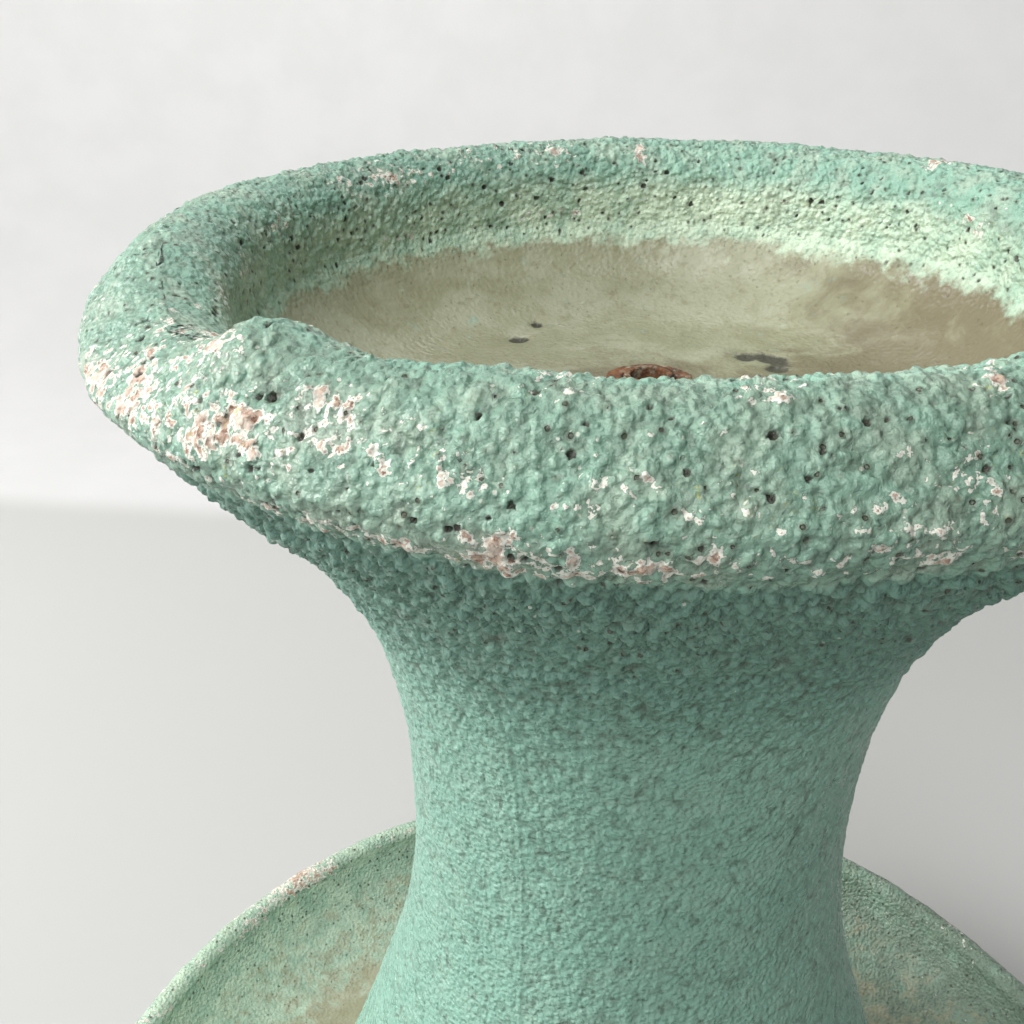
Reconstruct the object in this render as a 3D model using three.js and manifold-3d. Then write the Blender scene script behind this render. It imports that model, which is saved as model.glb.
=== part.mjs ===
// Two-tier cast drinking fountain: a thick-rimmed bowl on a waisted column in a shallow basin,
// tied together by the iron feed pipe, with a stop valve and a waste under the basin.
// Millimetres, +Z up; the origin is on the fountain's axis at ground level, and +Y is the rear.

import * as THREE from 'three';
import { mergeVertices } from 'three/addons/utils/BufferGeometryUtils.js';
import Module from 'manifold-3d';

const wasm = await Module();
wasm.setup();

// Driving dimensions

const GAP = 0.3;
const OVERCUT = 5;
const DEGREE = Math.PI / 180;

const SEGMENTS = { casting: 44, column: 36, fitting: 18, small: 14 };

const RIM = { level: 570, radius: 165, arcRadius: 17.2, arcCentre: 141.5, arcRise: 2.3 };
const ARRIS = { radius: 160, drop: 11.4 };
const SHOULDER = { inset: 2.5, rise: 6, arcStart: 45 * DEGREE };
const BOWL = { seatRadius: 116, seatDrop: 57, floorDrop: 40, floorRadius: 78, wallRadius: 124, wallDrop: 10 };
const BOWL_UNDERSIDE_PULL = { radius: 142, drop: 36 };
const BOWL_INSIDE_PULL = { radius: 112, rise: 2 };
const SPILL_LIP = { azimuth: -145 * DEGREE, halfWidth: 24 * DEGREE, dip: 10, flare: 5 };
const BED = { thickness: 3, inset: 5 };
const COLUMN = { topOverhang: 1, coreRadius: 28, footRadius: 164, footEdge: 14 };
// Radius and drop below the rim at heights down the column's side.
const COLUMN_SIDE = [
    [94.7, 101], [84.3, 145], [81.3, 189], [83.6, 232], [92.6, 276], [121.4, 363], [150, 434],
];
const BASIN = {
    radius: 271.5, crestHeight: 130, lipRadius: 7, floorHeight: 83, floorRadius: 186,
    undersideHeight: 58, ringOuter: 165, ringInner: 135, ringDraft: 4, ringShoulder: 8,
};
const BASIN_UNDERSIDE = { near: [200, 63], nearPull: [169, 60], outerPull: [262, 74] };
const BASIN_INSIDE_PULL = { radius: 246, rise: 6 };
const PIPE_NOTCH = { width: 34, height: 42 };

const PIPE = { radius: 8.35, bore: 6, clearance: 1.4 };
const PIPE_TOP_DROP = 30;
const SUPPLY_HEIGHT = 20;
const SEAL_WASHER = { radius: 19, thickness: 3 };
const FLANGE_WASHER = { radius: 20, thickness: 2.5 };
const BOWL_WASHER_THICKNESS = 1.2;
const BOWL_NUT_THICKNESS = 4.4;
const LOCKNUT = { acrossFlats: 27, thickness: 9 };
const ELBOW = { radius: 12.5, reach: 23, collarRadius: 14, collarLength: 8 };

const VALVE = { y: 203, radius: 13, acrossFlats: 25, halfLength: 24, ball: 8.5, bore: 5 };
const STEM = { radius: 4, top: 28.5, tang: 2.4 };
const LEVER = { length: 58, width: 11, thickness: 2.5, gripLength: 36, gripWall: 1.6 };
const INLET = { faceY: 258, length: 15, acrossFlats: 24 };

const WASTE = { azimuth: 70 * DEGREE, orbit: 196, flangeRadius: 22, shankRadius: 15, bore: 11 };
const WASTE_BOSS = { radius: 24, height: 56, recess: 26, root: 6 };
const HOLE_LOW = 40;
const WASTE_NUT_THICKNESS = 7;
const STANDPIPE = { radius: 9, bore: 7, top: 112, foot: 66 };
const STRAINER = { radius: 12.5, height: 9, slots: 6 };

// Materials

const paint = (colour, roughness, metalness) =>
    new THREE.MeshStandardMaterial({ color: colour, roughness, metalness });
const paintedCement = paint(0x79a792, 0.55, 0);
const mortar = paint(0x9c9787, 0.9, 0);
const galvanised = paint(0x8b8d8a, 0.5, 0.9);
const rustyIron = paint(0x6b4a36, 0.8, 0.5);
const brass = paint(0xb08d4a, 0.35, 1);
const chromedBall = paint(0xd2d4d6, 0.12, 1);
const rubber = paint(0x26262a, 0.8, 0);
const ptfe = paint(0xe9e7e0, 0.5, 0);
const vinyl = paint(0x2f5f9a, 0.5, 0);

// Solid tools

const fountain = new THREE.Group();

// Welds a closed geometry, drops the slivers at its poles and turns its faces outward.
function weld(geometry) {
    const bare = geometry.clone();
    bare.deleteAttribute('normal');
    bare.deleteAttribute('uv');
    const welded = mergeVertices(bare, 1e-4);
    const index = welded.getIndex().array;
    const kept = [];
    for (let i = 0; i < index.length; i += 3) {
        const [a, b, c] = [index[i], index[i + 1], index[i + 2]];
        if (a !== b && b !== c && c !== a) kept.push(a, b, c);
    }
    welded.setIndex(kept);
    return signedVolume(welded) < 0 ? welded.setIndex(kept.reverse()) : welded;
}

function signedVolume(geometry) {
    const position = geometry.getAttribute('position');
    const index = geometry.getIndex().array;
    const corners = [new THREE.Vector3(), new THREE.Vector3(), new THREE.Vector3()];
    let volume = 0;
    for (let i = 0; i < index.length; i += 3) {
        corners.forEach((corner, k) => corner.fromBufferAttribute(position, index[i + k]));
        volume += corners[0].dot(corners[1].cross(corners[2])) / 6;
    }
    return volume;
}

function solid(geometry) {
    const welded = weld(geometry);
    return new wasm.Manifold(new wasm.Mesh({
        numProp: 3,
        vertProperties: new Float32Array(welded.getAttribute('position').array),
        triVerts: new Uint32Array(welded.getIndex().array),
    }));
}

function geometryOf(manifold) {
    const mesh = manifold.getMesh();
    const geometry = new THREE.BufferGeometry();
    geometry.setAttribute('position', new THREE.BufferAttribute(mesh.vertProperties, 3));
    geometry.setIndex(new THREE.BufferAttribute(mesh.triVerts, 1));
    geometry.computeVertexNormals();
    return geometry;
}

const cut = (body, ...tools) => tools.reduce((left, tool) => left.subtract(tool), body);
const join = (body, ...others) => others.reduce((whole, other) => whole.add(other), body);

function addPiece(name, shape, material, place = {}) {
    const mesh = new THREE.Mesh(geometryOf(shape), material);
    mesh.name = name;
    mesh.position.copy(place.at ?? new THREE.Vector3());
    mesh.rotation.copy(place.turn ?? new THREE.Euler());
    (place.parent ?? fountain).add(mesh);
    return mesh;
}

// Shapes; all of them stand along Z

const point = (radius, height) => new THREE.Vector2(radius, height);

function latheGeometry(profile, segments) {
    return new THREE.LatheGeometry(profile, segments).rotateX(Math.PI / 2);
}

const lathe = (profile, segments = SEGMENTS.fitting) => solid(latheGeometry(profile, segments));

function cylinder(radius, low, high, segments = SEGMENTS.fitting) {
    const bar = new THREE.CylinderGeometry(radius, radius, high - low, segments);
    return solid(bar.rotateX(Math.PI / 2).translate(0, 0, (low + high) / 2));
}

function ring(outer, inner, low, high, segments = SEGMENTS.fitting) {
    return lathe([
        point(inner, low), point(outer, low), point(outer, high), point(inner, high), point(inner, low),
    ], segments);
}

function hexBar(acrossFlats, low, high) {
    return cylinder(acrossFlats / Math.sqrt(3), low, high, 6);
}

function block(sizes, centre) {
    return solid(new THREE.BoxGeometry(...sizes).translate(...centre));
}

// Stands a Z shape along the rear axis: its +Z end points to +Y.
const alongY = (shape) => shape.rotate([-90, 0, 0]);

// Castings

function spillLip(x, y) {
    const turn = Math.atan2(y, x) - SPILL_LIP.azimuth;
    const away = Math.abs(Math.atan2(Math.sin(turn), Math.cos(turn))) / SPILL_LIP.halfWidth;
    return away < 1 ? Math.cos(away * Math.PI / 2) ** 2 : 0;
}

// Presses the rim down and pulls it a little outward where the bowl spills.
function pressSpillLip(geometry) {
    const position = geometry.getAttribute('position');
    const lipBase = RIM.level - ARRIS.drop;
    const lipHeight = ARRIS.drop + RIM.arcRise + RIM.arcRadius;
    const vertex = new THREE.Vector3();
    for (let i = 0; i < position.count; i += 1) {
        vertex.fromBufferAttribute(position, i);
        const share = THREE.MathUtils.clamp((vertex.z - lipBase) / lipHeight, 0, 1);
        const press = share * spillLip(vertex.x, vertex.y);
        const inner = Math.hypot(vertex.x, vertex.y) < RIM.arcCentre ? 1 : 0;
        const reach = 1 + press * inner * SPILL_LIP.flare / RIM.arcCentre;
        position.setXYZ(i, vertex.x * reach, vertex.y * reach, vertex.z - press * SPILL_LIP.dip);
    }
    return geometry;
}

function upperBowl() {
    const outline = new THREE.Path();
    const level = RIM.level;
    const seat = level - BOWL.seatDrop;
    const floor = level - BOWL.floorDrop;
    outline.moveTo(0, seat);
    outline.lineTo(BOWL.seatRadius, seat);
    outline.quadraticCurveTo(
        BOWL_UNDERSIDE_PULL.radius, level - BOWL_UNDERSIDE_PULL.drop, ARRIS.radius, level - ARRIS.drop);
    outline.quadraticCurveTo(RIM.radius + 1, level - 5, RIM.radius, level);
    outline.lineTo(RIM.radius - SHOULDER.inset, level + SHOULDER.rise);
    outline.absarc(RIM.arcCentre, level + RIM.arcRise, RIM.arcRadius, SHOULDER.arcStart, Math.PI);
    outline.lineTo(BOWL.wallRadius, level - BOWL.wallDrop);
    outline.quadraticCurveTo(
        BOWL_INSIDE_PULL.radius, floor + BOWL_INSIDE_PULL.rise, BOWL.floorRadius, floor);
    outline.lineTo(0, floor);
    const turned = latheGeometry(outline.getPoints(4), SEGMENTS.casting);
    const pipeHole = cylinder(PIPE.radius + PIPE.clearance, seat - OVERCUT, floor + OVERCUT);
    return cut(solid(pressSpillLip(turned)), pipeHole);
}

function column() {
    const level = RIM.level;
    const top = level - BOWL.seatDrop - BED.thickness;
    const bottom = BASIN.floorHeight + BED.thickness;
    const side = new THREE.SplineCurve([
        point(BOWL.seatRadius + COLUMN.topOverhang, top),
        ...COLUMN_SIDE.map(([radius, drop]) => point(radius, level - drop)),
        point(COLUMN.footRadius, bottom + COLUMN.footEdge),
    ]);
    const profile = [point(0, top), ...side.getPoints(13), point(COLUMN.footRadius, bottom), point(0, bottom)];
    const core = cylinder(COLUMN.coreRadius, bottom - OVERCUT, top + OVERCUT);
    return cut(lathe(profile, SEGMENTS.column), core);
}

function basinDish() {
    const outline = new THREE.Path();
    const crest = BASIN.crestHeight - BASIN.lipRadius;
    const lipCentre = BASIN.radius - BASIN.lipRadius;
    outline.moveTo(0, BASIN.undersideHeight);
    outline.lineTo(BASIN.ringInner, BASIN.undersideHeight);
    outline.lineTo(BASIN.ringInner + BASIN.ringDraft, 0);
    outline.lineTo(BASIN.ringOuter, 0);
    outline.lineTo(BASIN.ringOuter + BASIN.ringDraft / 2, BASIN.undersideHeight - BASIN.ringShoulder);
    outline.quadraticCurveTo(...BASIN_UNDERSIDE.nearPull, ...BASIN_UNDERSIDE.near);
    outline.quadraticCurveTo(...BASIN_UNDERSIDE.outerPull, BASIN.radius, crest);
    outline.absarc(lipCentre, crest, BASIN.lipRadius, 0, Math.PI);
    outline.quadraticCurveTo(
        BASIN_INSIDE_PULL.radius, BASIN.floorHeight + BASIN_INSIDE_PULL.rise,
        BASIN.floorRadius, BASIN.floorHeight);
    outline.lineTo(0, BASIN.floorHeight);
    return lathe(outline.getPoints(4), SEGMENTS.casting);
}

const wasteCentre = new THREE.Vector3(
    WASTE.orbit * Math.cos(WASTE.azimuth), WASTE.orbit * Math.sin(WASTE.azimuth), 0);
const atWaste = (shape) => shape.translate([wasteCentre.x, wasteCentre.y, 0]);

function lowerBasin() {
    const boss = atWaste(cylinder(WASTE_BOSS.radius, WASTE_BOSS.height, BASIN.floorHeight - WASTE_BOSS.root));
    const recess = atWaste(cylinder(WASTE_BOSS.recess, BASIN.floorHeight, BASIN.crestHeight));
    const wasteHole = atWaste(cylinder(WASTE.shankRadius + 1, HOLE_LOW, BASIN.floorHeight + OVERCUT));
    const pipeHole = cylinder(PIPE.radius + PIPE.clearance, HOLE_LOW, BASIN.floorHeight + OVERCUT);
    const ringMiddle = (BASIN.ringOuter + BASIN.ringInner) / 2;
    const notch = block(
        [PIPE_NOTCH.width, 50, PIPE_NOTCH.height + OVERCUT],
        [0, ringMiddle, (PIPE_NOTCH.height - OVERCUT) / 2]);
    return cut(join(basinDish(), boss), recess, wasteHole, pipeHole, notch);
}

function addCastings() {
    const bowlSeat = RIM.level - BOWL.seatDrop;
    const columnFoot = BASIN.floorHeight + BED.thickness;
    addPiece('upper_bowl', upperBowl(), paintedCement);
    addPiece('column', column(), paintedCement);
    addPiece('lower_basin', lowerBasin(), paintedCement);
    addPiece('bowl_bedding_ring', ring(
        BOWL.seatRadius - BED.inset, 62,
        bowlSeat - BED.thickness + GAP, bowlSeat - GAP, SEGMENTS.column), mortar);
    addPiece('column_bedding_ring', ring(
        COLUMN.footRadius - BED.inset, 100,
        BASIN.floorHeight + GAP, columnFoot - GAP, SEGMENTS.column), mortar);
}

// Feed pipe, which also ties the three castings together

const BOWL_FLOOR = RIM.level - BOWL.floorDrop;
const FEED_LOW = SUPPLY_HEIGHT + ELBOW.reach - ELBOW.collarLength + 1;

function lockNut(low, high) {
    return cut(hexBar(LOCKNUT.acrossFlats, low, high), cylinder(PIPE.radius + GAP, low - 1, high + 1));
}

function washer(outer, low, high) {
    return ring(outer, PIPE.radius + GAP, low, high);
}

// A bored elbow: one leg up the Z axis, the other along +Y, both ending in a collar.
function elbow(radius, collarRadius, bore, reach, socketRadius, socketDepth) {
    const bend = new THREE.SphereGeometry(radius, 14, 8);
    const leg = join(
        cylinder(radius, 0, reach),
        cylinder(collarRadius, reach - ELBOW.collarLength, reach));
    const hollow = join(
        cylinder(bore, 0, reach + OVERCUT, SEGMENTS.small),
        cylinder(socketRadius, reach - socketDepth, reach + OVERCUT));
    const inside = solid(new THREE.SphereGeometry(bore, 14, 8));
    return cut(join(solid(bend), leg, alongY(leg)), inside, hollow, alongY(hollow));
}

function addFeed() {
    const top = RIM.level - PIPE_TOP_DROP;
    addPiece('feed_pipe', ring(PIPE.radius, PIPE.bore, FEED_LOW, top), rustyIron);

    const bowlSeal = BOWL_FLOOR + GAP;
    const bowlWasher = bowlSeal + SEAL_WASHER.thickness - 2 * GAP;
    const bowlNut = bowlWasher + BOWL_WASHER_THICKNESS;
    addPiece('bowl_seal_washer', washer(SEAL_WASHER.radius, bowlSeal, bowlWasher - GAP), rubber);
    addPiece('bowl_flange_washer', washer(FLANGE_WASHER.radius, bowlWasher, bowlNut - GAP), rustyIron);
    addPiece('bowl_locknut', lockNut(bowlNut, bowlNut + BOWL_NUT_THICKNESS), rustyIron);

    const basinSeal = BASIN.undersideHeight - GAP;
    const basinWasher = basinSeal - SEAL_WASHER.thickness;
    const basinNut = basinWasher - FLANGE_WASHER.thickness;
    addPiece('basin_seal_washer', washer(SEAL_WASHER.radius, basinWasher + GAP, basinSeal), rubber);
    addPiece('basin_flange_washer', washer(FLANGE_WASHER.radius, basinNut + GAP, basinWasher), galvanised);
    addPiece('basin_locknut', lockNut(basinNut - LOCKNUT.thickness, basinNut), galvanised);

    const feedElbow = elbow(
        ELBOW.radius, ELBOW.collarRadius, PIPE.bore, ELBOW.reach, PIPE.radius + GAP, ELBOW.collarLength);
    addPiece('feed_elbow', feedElbow, galvanised, { at: new THREE.Vector3(0, 0, SUPPLY_HEIGHT) });
}

// Supply run with its stop valve, modelled about the valve's centre with the flow along Y

const VALVE_CHAMBER = { radius: 10.2, end: 14 };
const SEAT = { near: 7, far: 9.7, bore: 5.3, radius: 9.8 };
const GLAND = { radius: 8.6, top: 17, skirtRadius: 6, skirtLow: 14.4, hex: 16, high: 22 };

function valveBody() {
    const { radius, end } = VALVE_CHAMBER;
    const barrel = alongY(join(
        cylinder(VALVE.radius, -16, end),
        hexBar(VALVE.acrossFlats, -VALVE.halfLength, -15)));
    const stemBoss = cylinder(GLAND.radius, 0, GLAND.top);
    const flow = alongY(join(
        cylinder(VALVE.bore, -VALVE.halfLength, 0),
        cylinder(PIPE.radius + GAP, -VALVE.halfLength - OVERCUT, -VALVE.halfLength + 9),
        cylinder(radius, -SEAT.far - GAP, end + OVERCUT)));
    const stemBore = join(
        cylinder(STEM.radius + GAP, 0, GLAND.top + 1, SEGMENTS.small),
        cylinder(GLAND.skirtRadius + GAP, 11.5, GLAND.top + 1, SEGMENTS.small));
    return cut(join(barrel, stemBoss), flow, stemBore);
}

function valveEndCap() {
    const { radius, end } = VALVE_CHAMBER;
    const plug = join(
        cylinder(radius - GAP, SEAT.far + GAP, end + 1),
        hexBar(VALVE.acrossFlats, end + GAP, VALVE.halfLength));
    const flow = join(
        cylinder(VALVE.bore, 0, VALVE.halfLength),
        cylinder(PIPE.radius + GAP, VALVE.halfLength - 9, VALVE.halfLength + OVERCUT));
    return alongY(cut(plug, flow));
}

// The ball is drawn shut: its bore lies across the flow.
function valveBall() {
    const sphere = solid(new THREE.SphereGeometry(VALVE.ball, 20, 12).rotateX(Math.PI / 2));
    const bore = cylinder(VALVE.bore, -10, 10, SEGMENTS.small).rotate([0, 90, 0]);
    const slot = block([20, STEM.tang + 2 * GAP, 4], [0, 0, VALVE.ball]);
    return cut(sphere, bore, slot);
}

function valveStem() {
    const shaft = cylinder(STEM.radius, VALVE.ball + GAP, 22, SEGMENTS.small);
    const tang = block([STEM.radius * 1.6, STEM.tang, 3], [0, 0, VALVE.ball - 0.4]);
    const head = cylinder(STEM.radius - 1.2, 21, STEM.top, SEGMENTS.small);
    return join(shaft, tang, head);
}

function glandNut() {
    const nut = join(
        cylinder(GLAND.skirtRadius, GLAND.skirtLow, GLAND.top + 1, SEGMENTS.small),
        hexBar(GLAND.hex, GLAND.top + GAP, GLAND.high));
    return cut(nut, cylinder(STEM.radius + GAP, 10, 25, SEGMENTS.small));
}

// The lever is drawn shut, pointing to -X; it swings towards +Y to open.
function valveLever() {
    const low = GLAND.high + GAP;
    const middle = low + LEVER.thickness / 2;
    const disc = cylinder(LEVER.width * 0.8, low, low + LEVER.thickness);
    const arm = block([LEVER.length, LEVER.width, LEVER.thickness], [-LEVER.length / 2, 0, middle]);
    const hole = cylinder(STEM.radius - 1.2 + GAP, low - 1, low + LEVER.thickness + 1, SEGMENTS.small);
    return cut(join(disc, arm), hole);
}

function leverGrip() {
    const low = GLAND.high + GAP;
    const middle = low + LEVER.thickness / 2;
    const wall = 2 * LEVER.gripWall;
    const far = -LEVER.length - LEVER.gripWall;
    const centreX = far + LEVER.gripLength / 2;
    const outline = new THREE.Shape();
    const halfWidth = (LEVER.width + wall) / 2;
    outline.moveTo(centreX + LEVER.gripLength / 2, -halfWidth);
    outline.lineTo(centreX + LEVER.gripLength / 2, halfWidth);
    outline.absarc(far + halfWidth, 0, halfWidth, 90 * DEGREE, 270 * DEGREE);
    outline.closePath();
    const depth = LEVER.thickness + wall;
    const sleeve = new THREE.ExtrudeGeometry(outline, { depth, bevelEnabled: false, curveSegments: 8 });
    const pocket = block(
        [LEVER.gripLength + OVERCUT, LEVER.width + 2 * GAP, LEVER.thickness + 2 * GAP],
        [-LEVER.length - GAP + (LEVER.gripLength + OVERCUT) / 2, 0, middle]);
    return cut(solid(sleeve.translate(0, 0, middle - depth / 2)), pocket);
}

function addValve() {
    const valve = new THREE.Group();
    valve.position.set(0, VALVE.y, SUPPLY_HEIGHT);
    fountain.add(valve);
    const add = (name, shape, material) => addPiece(name, shape, material, { parent: valve });
    const seatRing = (near, far) => alongY(ring(SEAT.radius, SEAT.bore, near, far));
    const nutLow = GLAND.high + 2 * GAP + LEVER.thickness;
    const nut = hexBar(9, nutLow, nutLow + 4);

    add('valve_body', valveBody(), brass);
    add('valve_end_cap', valveEndCap(), brass);
    add('valve_ball', valveBall(), chromedBall);
    add('valve_seat_inner', seatRing(-SEAT.far, -SEAT.near), ptfe);
    add('valve_seat_outer', seatRing(SEAT.near, SEAT.far), ptfe);
    add('valve_stem', valveStem(), brass);
    add('stem_packing', ring(GLAND.skirtRadius, STEM.radius + GAP, 11.8, GLAND.skirtLow - GAP,
        SEGMENTS.small), ptfe);
    add('gland_nut', glandNut(), brass);
    add('valve_lever', valveLever(), galvanised);
    add('lever_grip', leverGrip(), vinyl);
    add('lever_nut', cut(nut, cylinder(STEM.radius - 1.2 + GAP, nutLow - 1, nutLow + 5, 16)), galvanised);
}

function addSupplyRun() {
    const along = { at: new THREE.Vector3(0, 0, SUPPLY_HEIGHT) };
    const elbowEnd = ELBOW.reach - ELBOW.collarLength + 1;
    const valveNear = VALVE.y - VALVE.halfLength + 8.5;
    const valveFar = VALVE.y + VALVE.halfLength - 8.5;
    const inletBack = INLET.faceY - INLET.length;
    const nippleEnd = inletBack + 5;
    const coupling = cut(
        hexBar(INLET.acrossFlats, inletBack, INLET.faceY),
        cylinder(PIPE.radius + GAP, inletBack - 1, INLET.faceY + 1));
    addPiece('supply_pipe', alongY(ring(PIPE.radius, PIPE.bore, elbowEnd, valveNear)), galvanised, along);
    addPiece('inlet_nipple', alongY(ring(PIPE.radius, PIPE.bore, valveFar, nippleEnd)), galvanised, along);
    addPiece('inlet_coupling', alongY(coupling), brass, along);
}

// Waste with its lift-out overflow standpipe

function wasteBody() {
    const flangeTop = BASIN.floorHeight + 5;
    const flangeLow = BASIN.floorHeight + 2;
    const body = join(
        cylinder(WASTE.flangeRadius, flangeLow, flangeTop),
        cylinder(WASTE.shankRadius, 36, flangeLow + 1));
    const cup = lathe([
        point(0, 64), point(WASTE.bore - 1, 64), point(WASTE.bore, 68), point(WASTE.bore, flangeTop - 2),
        point(WASTE.bore + 3, flangeTop + 1), point(0, flangeTop + 1),
    ]);
    return cut(body, cup, cylinder(STANDPIPE.bore + 1, 30, 70));
}

function standpipe() {
    const { radius, bore, top, foot } = STANDPIPE;
    const tube = ring(radius, bore, foot, top);
    const collar = ring(WASTE.bore + 2.4, radius - 1, BASIN.floorHeight + 5.4, BASIN.floorHeight + 7.4);
    const groove = ring(radius + 2, radius - 1, 72.5, 76.5);
    return cut(join(tube, collar), groove);
}

function strainerCap() {
    const low = STANDPIPE.top - 4;
    const high = STANDPIPE.top + STRAINER.height;
    const cap = lathe([
        point(STANDPIPE.radius + GAP, low), point(STRAINER.radius, low), point(STRAINER.radius, high - 4),
        point(STRAINER.radius - 4, high), point(0, high), point(0, high - 2),
        point(STANDPIPE.radius + GAP, high - 3), point(STANDPIPE.radius + GAP, low),
    ]);
    const slots = Array.from({ length: STRAINER.slots / 2 }, (_, i) =>
        block([40, 3, 4], [0, 0, STANDPIPE.top + 2.6]).rotate([0, 0, 180 * i / (STRAINER.slots / 2)]));
    const skirt = ring(STRAINER.radius + 1, 2, STANDPIPE.top + 0.6, STANDPIPE.top + 4.6);
    return cut(cap, ...slots.map((slot) => slot.intersect(skirt)));
}

function addWaste() {
    const place = { at: wasteCentre };
    const add = (name, shape, material) => addPiece(name, shape, material, place);
    const shankHole = WASTE.shankRadius + GAP;
    const nutTop = WASTE_BOSS.height - 3 - 2 - GAP;
    const nutLow = nutTop - WASTE_NUT_THICKNESS;
    const nut = cut(hexBar(40, nutLow, nutTop), cylinder(shankHole, nutLow - 1, nutTop + 1));
    const outlet = ring(10, 8, ELBOW.reach - ELBOW.collarLength + 1, 258 - wasteCentre.y);

    add('waste_body', wasteBody(), brass);
    add('waste_flange_gasket', ring(WASTE.flangeRadius - 1, shankHole,
        BASIN.floorHeight + GAP, BASIN.floorHeight + 2 - GAP), rubber);
    add('waste_under_gasket', ring(21, shankHole, WASTE_BOSS.height - 3, WASTE_BOSS.height - GAP), rubber);
    add('waste_slip_washer', ring(21.5, shankHole, nutTop + GAP, WASTE_BOSS.height - 3 - GAP), galvanised);
    add('waste_locknut', nut, brass);
    add('standpipe', standpipe(), brass);
    add('standpipe_seal', ring(WASTE.bore - GAP, STANDPIPE.radius - 1 + GAP, 72.8, 76.2), rubber);
    add('strainer_cap', strainerCap(), brass);
    const bend = elbow(13.5, 18, 8, ELBOW.reach, WASTE.shankRadius + GAP, 7.5);
    addPiece('waste_elbow', bend, galvanised, { at: wasteCentre.clone().setZ(SUPPLY_HEIGHT) });
    addPiece('waste_outlet_pipe', alongY(outlet), galvanised,
        { at: wasteCentre.clone().setZ(SUPPLY_HEIGHT) });
}

addCastings();
addFeed();
addValve();
addSupplyRun();
addWaste();

export default fountain;
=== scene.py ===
import itertools
import math

import bpy
import numpy as np
from mathutils import Matrix, Vector


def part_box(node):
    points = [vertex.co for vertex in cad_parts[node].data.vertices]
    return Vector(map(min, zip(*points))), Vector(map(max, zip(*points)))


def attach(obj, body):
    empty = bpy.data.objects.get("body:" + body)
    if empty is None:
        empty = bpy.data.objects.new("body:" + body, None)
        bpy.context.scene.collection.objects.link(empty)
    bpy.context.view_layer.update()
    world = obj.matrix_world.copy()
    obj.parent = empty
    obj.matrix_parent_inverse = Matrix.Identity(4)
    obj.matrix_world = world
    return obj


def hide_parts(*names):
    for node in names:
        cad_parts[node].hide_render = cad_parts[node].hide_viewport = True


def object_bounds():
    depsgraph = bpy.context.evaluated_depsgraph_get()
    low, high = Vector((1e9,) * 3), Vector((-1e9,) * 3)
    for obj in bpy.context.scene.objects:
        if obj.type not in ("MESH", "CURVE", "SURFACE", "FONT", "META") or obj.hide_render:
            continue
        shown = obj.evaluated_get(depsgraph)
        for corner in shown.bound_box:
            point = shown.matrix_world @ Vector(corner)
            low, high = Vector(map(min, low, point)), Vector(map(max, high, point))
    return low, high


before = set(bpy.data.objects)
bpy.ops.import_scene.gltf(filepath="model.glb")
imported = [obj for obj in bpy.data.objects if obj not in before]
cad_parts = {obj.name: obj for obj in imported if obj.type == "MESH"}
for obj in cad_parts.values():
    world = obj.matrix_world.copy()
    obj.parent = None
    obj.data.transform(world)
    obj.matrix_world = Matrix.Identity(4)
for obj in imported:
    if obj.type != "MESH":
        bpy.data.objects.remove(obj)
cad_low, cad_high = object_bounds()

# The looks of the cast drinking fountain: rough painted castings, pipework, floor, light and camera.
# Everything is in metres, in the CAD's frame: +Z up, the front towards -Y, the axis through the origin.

MM = 0.001
COARSE = 1.0

bowl_low, bowl_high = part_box("upper_bowl")
column_low, column_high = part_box("column")
basin_low, basin_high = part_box("lower_basin")
waste_low, waste_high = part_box("waste_body")
PIPE_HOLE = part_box("feed_pipe")[1].x + 1.4 * MM
PIPE_OUTER, PIPE_BORE, PIPE_FIT = 8.35, 6, 8.65  # the 3/8 inch pipe's radii and its sockets' radius, in mm
WASTE_AXIS = Vector(((waste_low.x + waste_high.x) / 2, (waste_low.y + waste_high.y) / 2, 0))

# ---------------------------------------------------------------- outlines


def line(start, end):
    return np.array([start, end])


def bend(start, control, end, count=16):
    """A quadratic curve, as THREE.Path.quadraticCurveTo draws it."""
    t = np.linspace(0, 1, count)[:, None]
    start, control, end = map(np.array, (start, control, end))
    return (1 - t) ** 2 * start + 2 * t * (1 - t) * control + t ** 2 * end


def arc(centre, radius, first, last, count=40):
    turn = np.radians(np.linspace(first, last, count))
    return np.stack([centre[0] + radius * np.cos(turn), centre[1] + radius * np.sin(turn)], axis=1)


def spline(points, count=24):
    """A Catmull-Rom curve through the points, as THREE.SplineCurve draws it."""
    points = np.array(points)
    padded = np.vstack([points[:1], points, points[-1:]])
    out = []
    for p0, p1, p2, p3 in zip(padded, padded[1:], padded[2:], padded[3:]):
        t = np.linspace(0, 1, count, endpoint=False)[:, None]
        v0, v1 = (p2 - p0) / 2, (p3 - p1) / 2
        cubed, squared = 2 * p1 - 2 * p2 + v0 + v1, 3 * p2 - 3 * p1 - 2 * v0 - v1
        out.append(cubed * t ** 3 + squared * t ** 2 + v0 * t + p1)
    return np.vstack([*out, points[-1:]])


def even(path, step):
    """The path's points again, one every step or so along it; the last point is left to the next path."""
    along = np.concatenate([[0], np.cumsum(np.linalg.norm(np.diff(path, axis=0), axis=1))])
    count = max(1, round(along[-1] / (step * COARSE)))
    at = np.linspace(0, along[-1], count + 1)[:-1]
    return np.stack([np.interp(at, along, path[:, k]) for k in (0, 1)], axis=1)


def outline(*stretches):
    """A closed outline of (radius, height) from (path, step) pairs."""
    return np.vstack([even(path, step) for path, step in stretches])


def front_weighted_turns(count, gain):
    """Angles round the axis, packed gain times closer at the front (-Y) than at the rear."""
    even_turns = np.linspace(0, 2 * np.pi, 4096)
    density = 1 + (gain - 1) * (0.5 - 0.5 * np.sin(even_turns)) ** 1.5
    share = np.concatenate([[0], np.cumsum((density[1:] + density[:-1]) / 2)])
    return np.interp(np.arange(count) / count, share / share[-1], even_turns)


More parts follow.
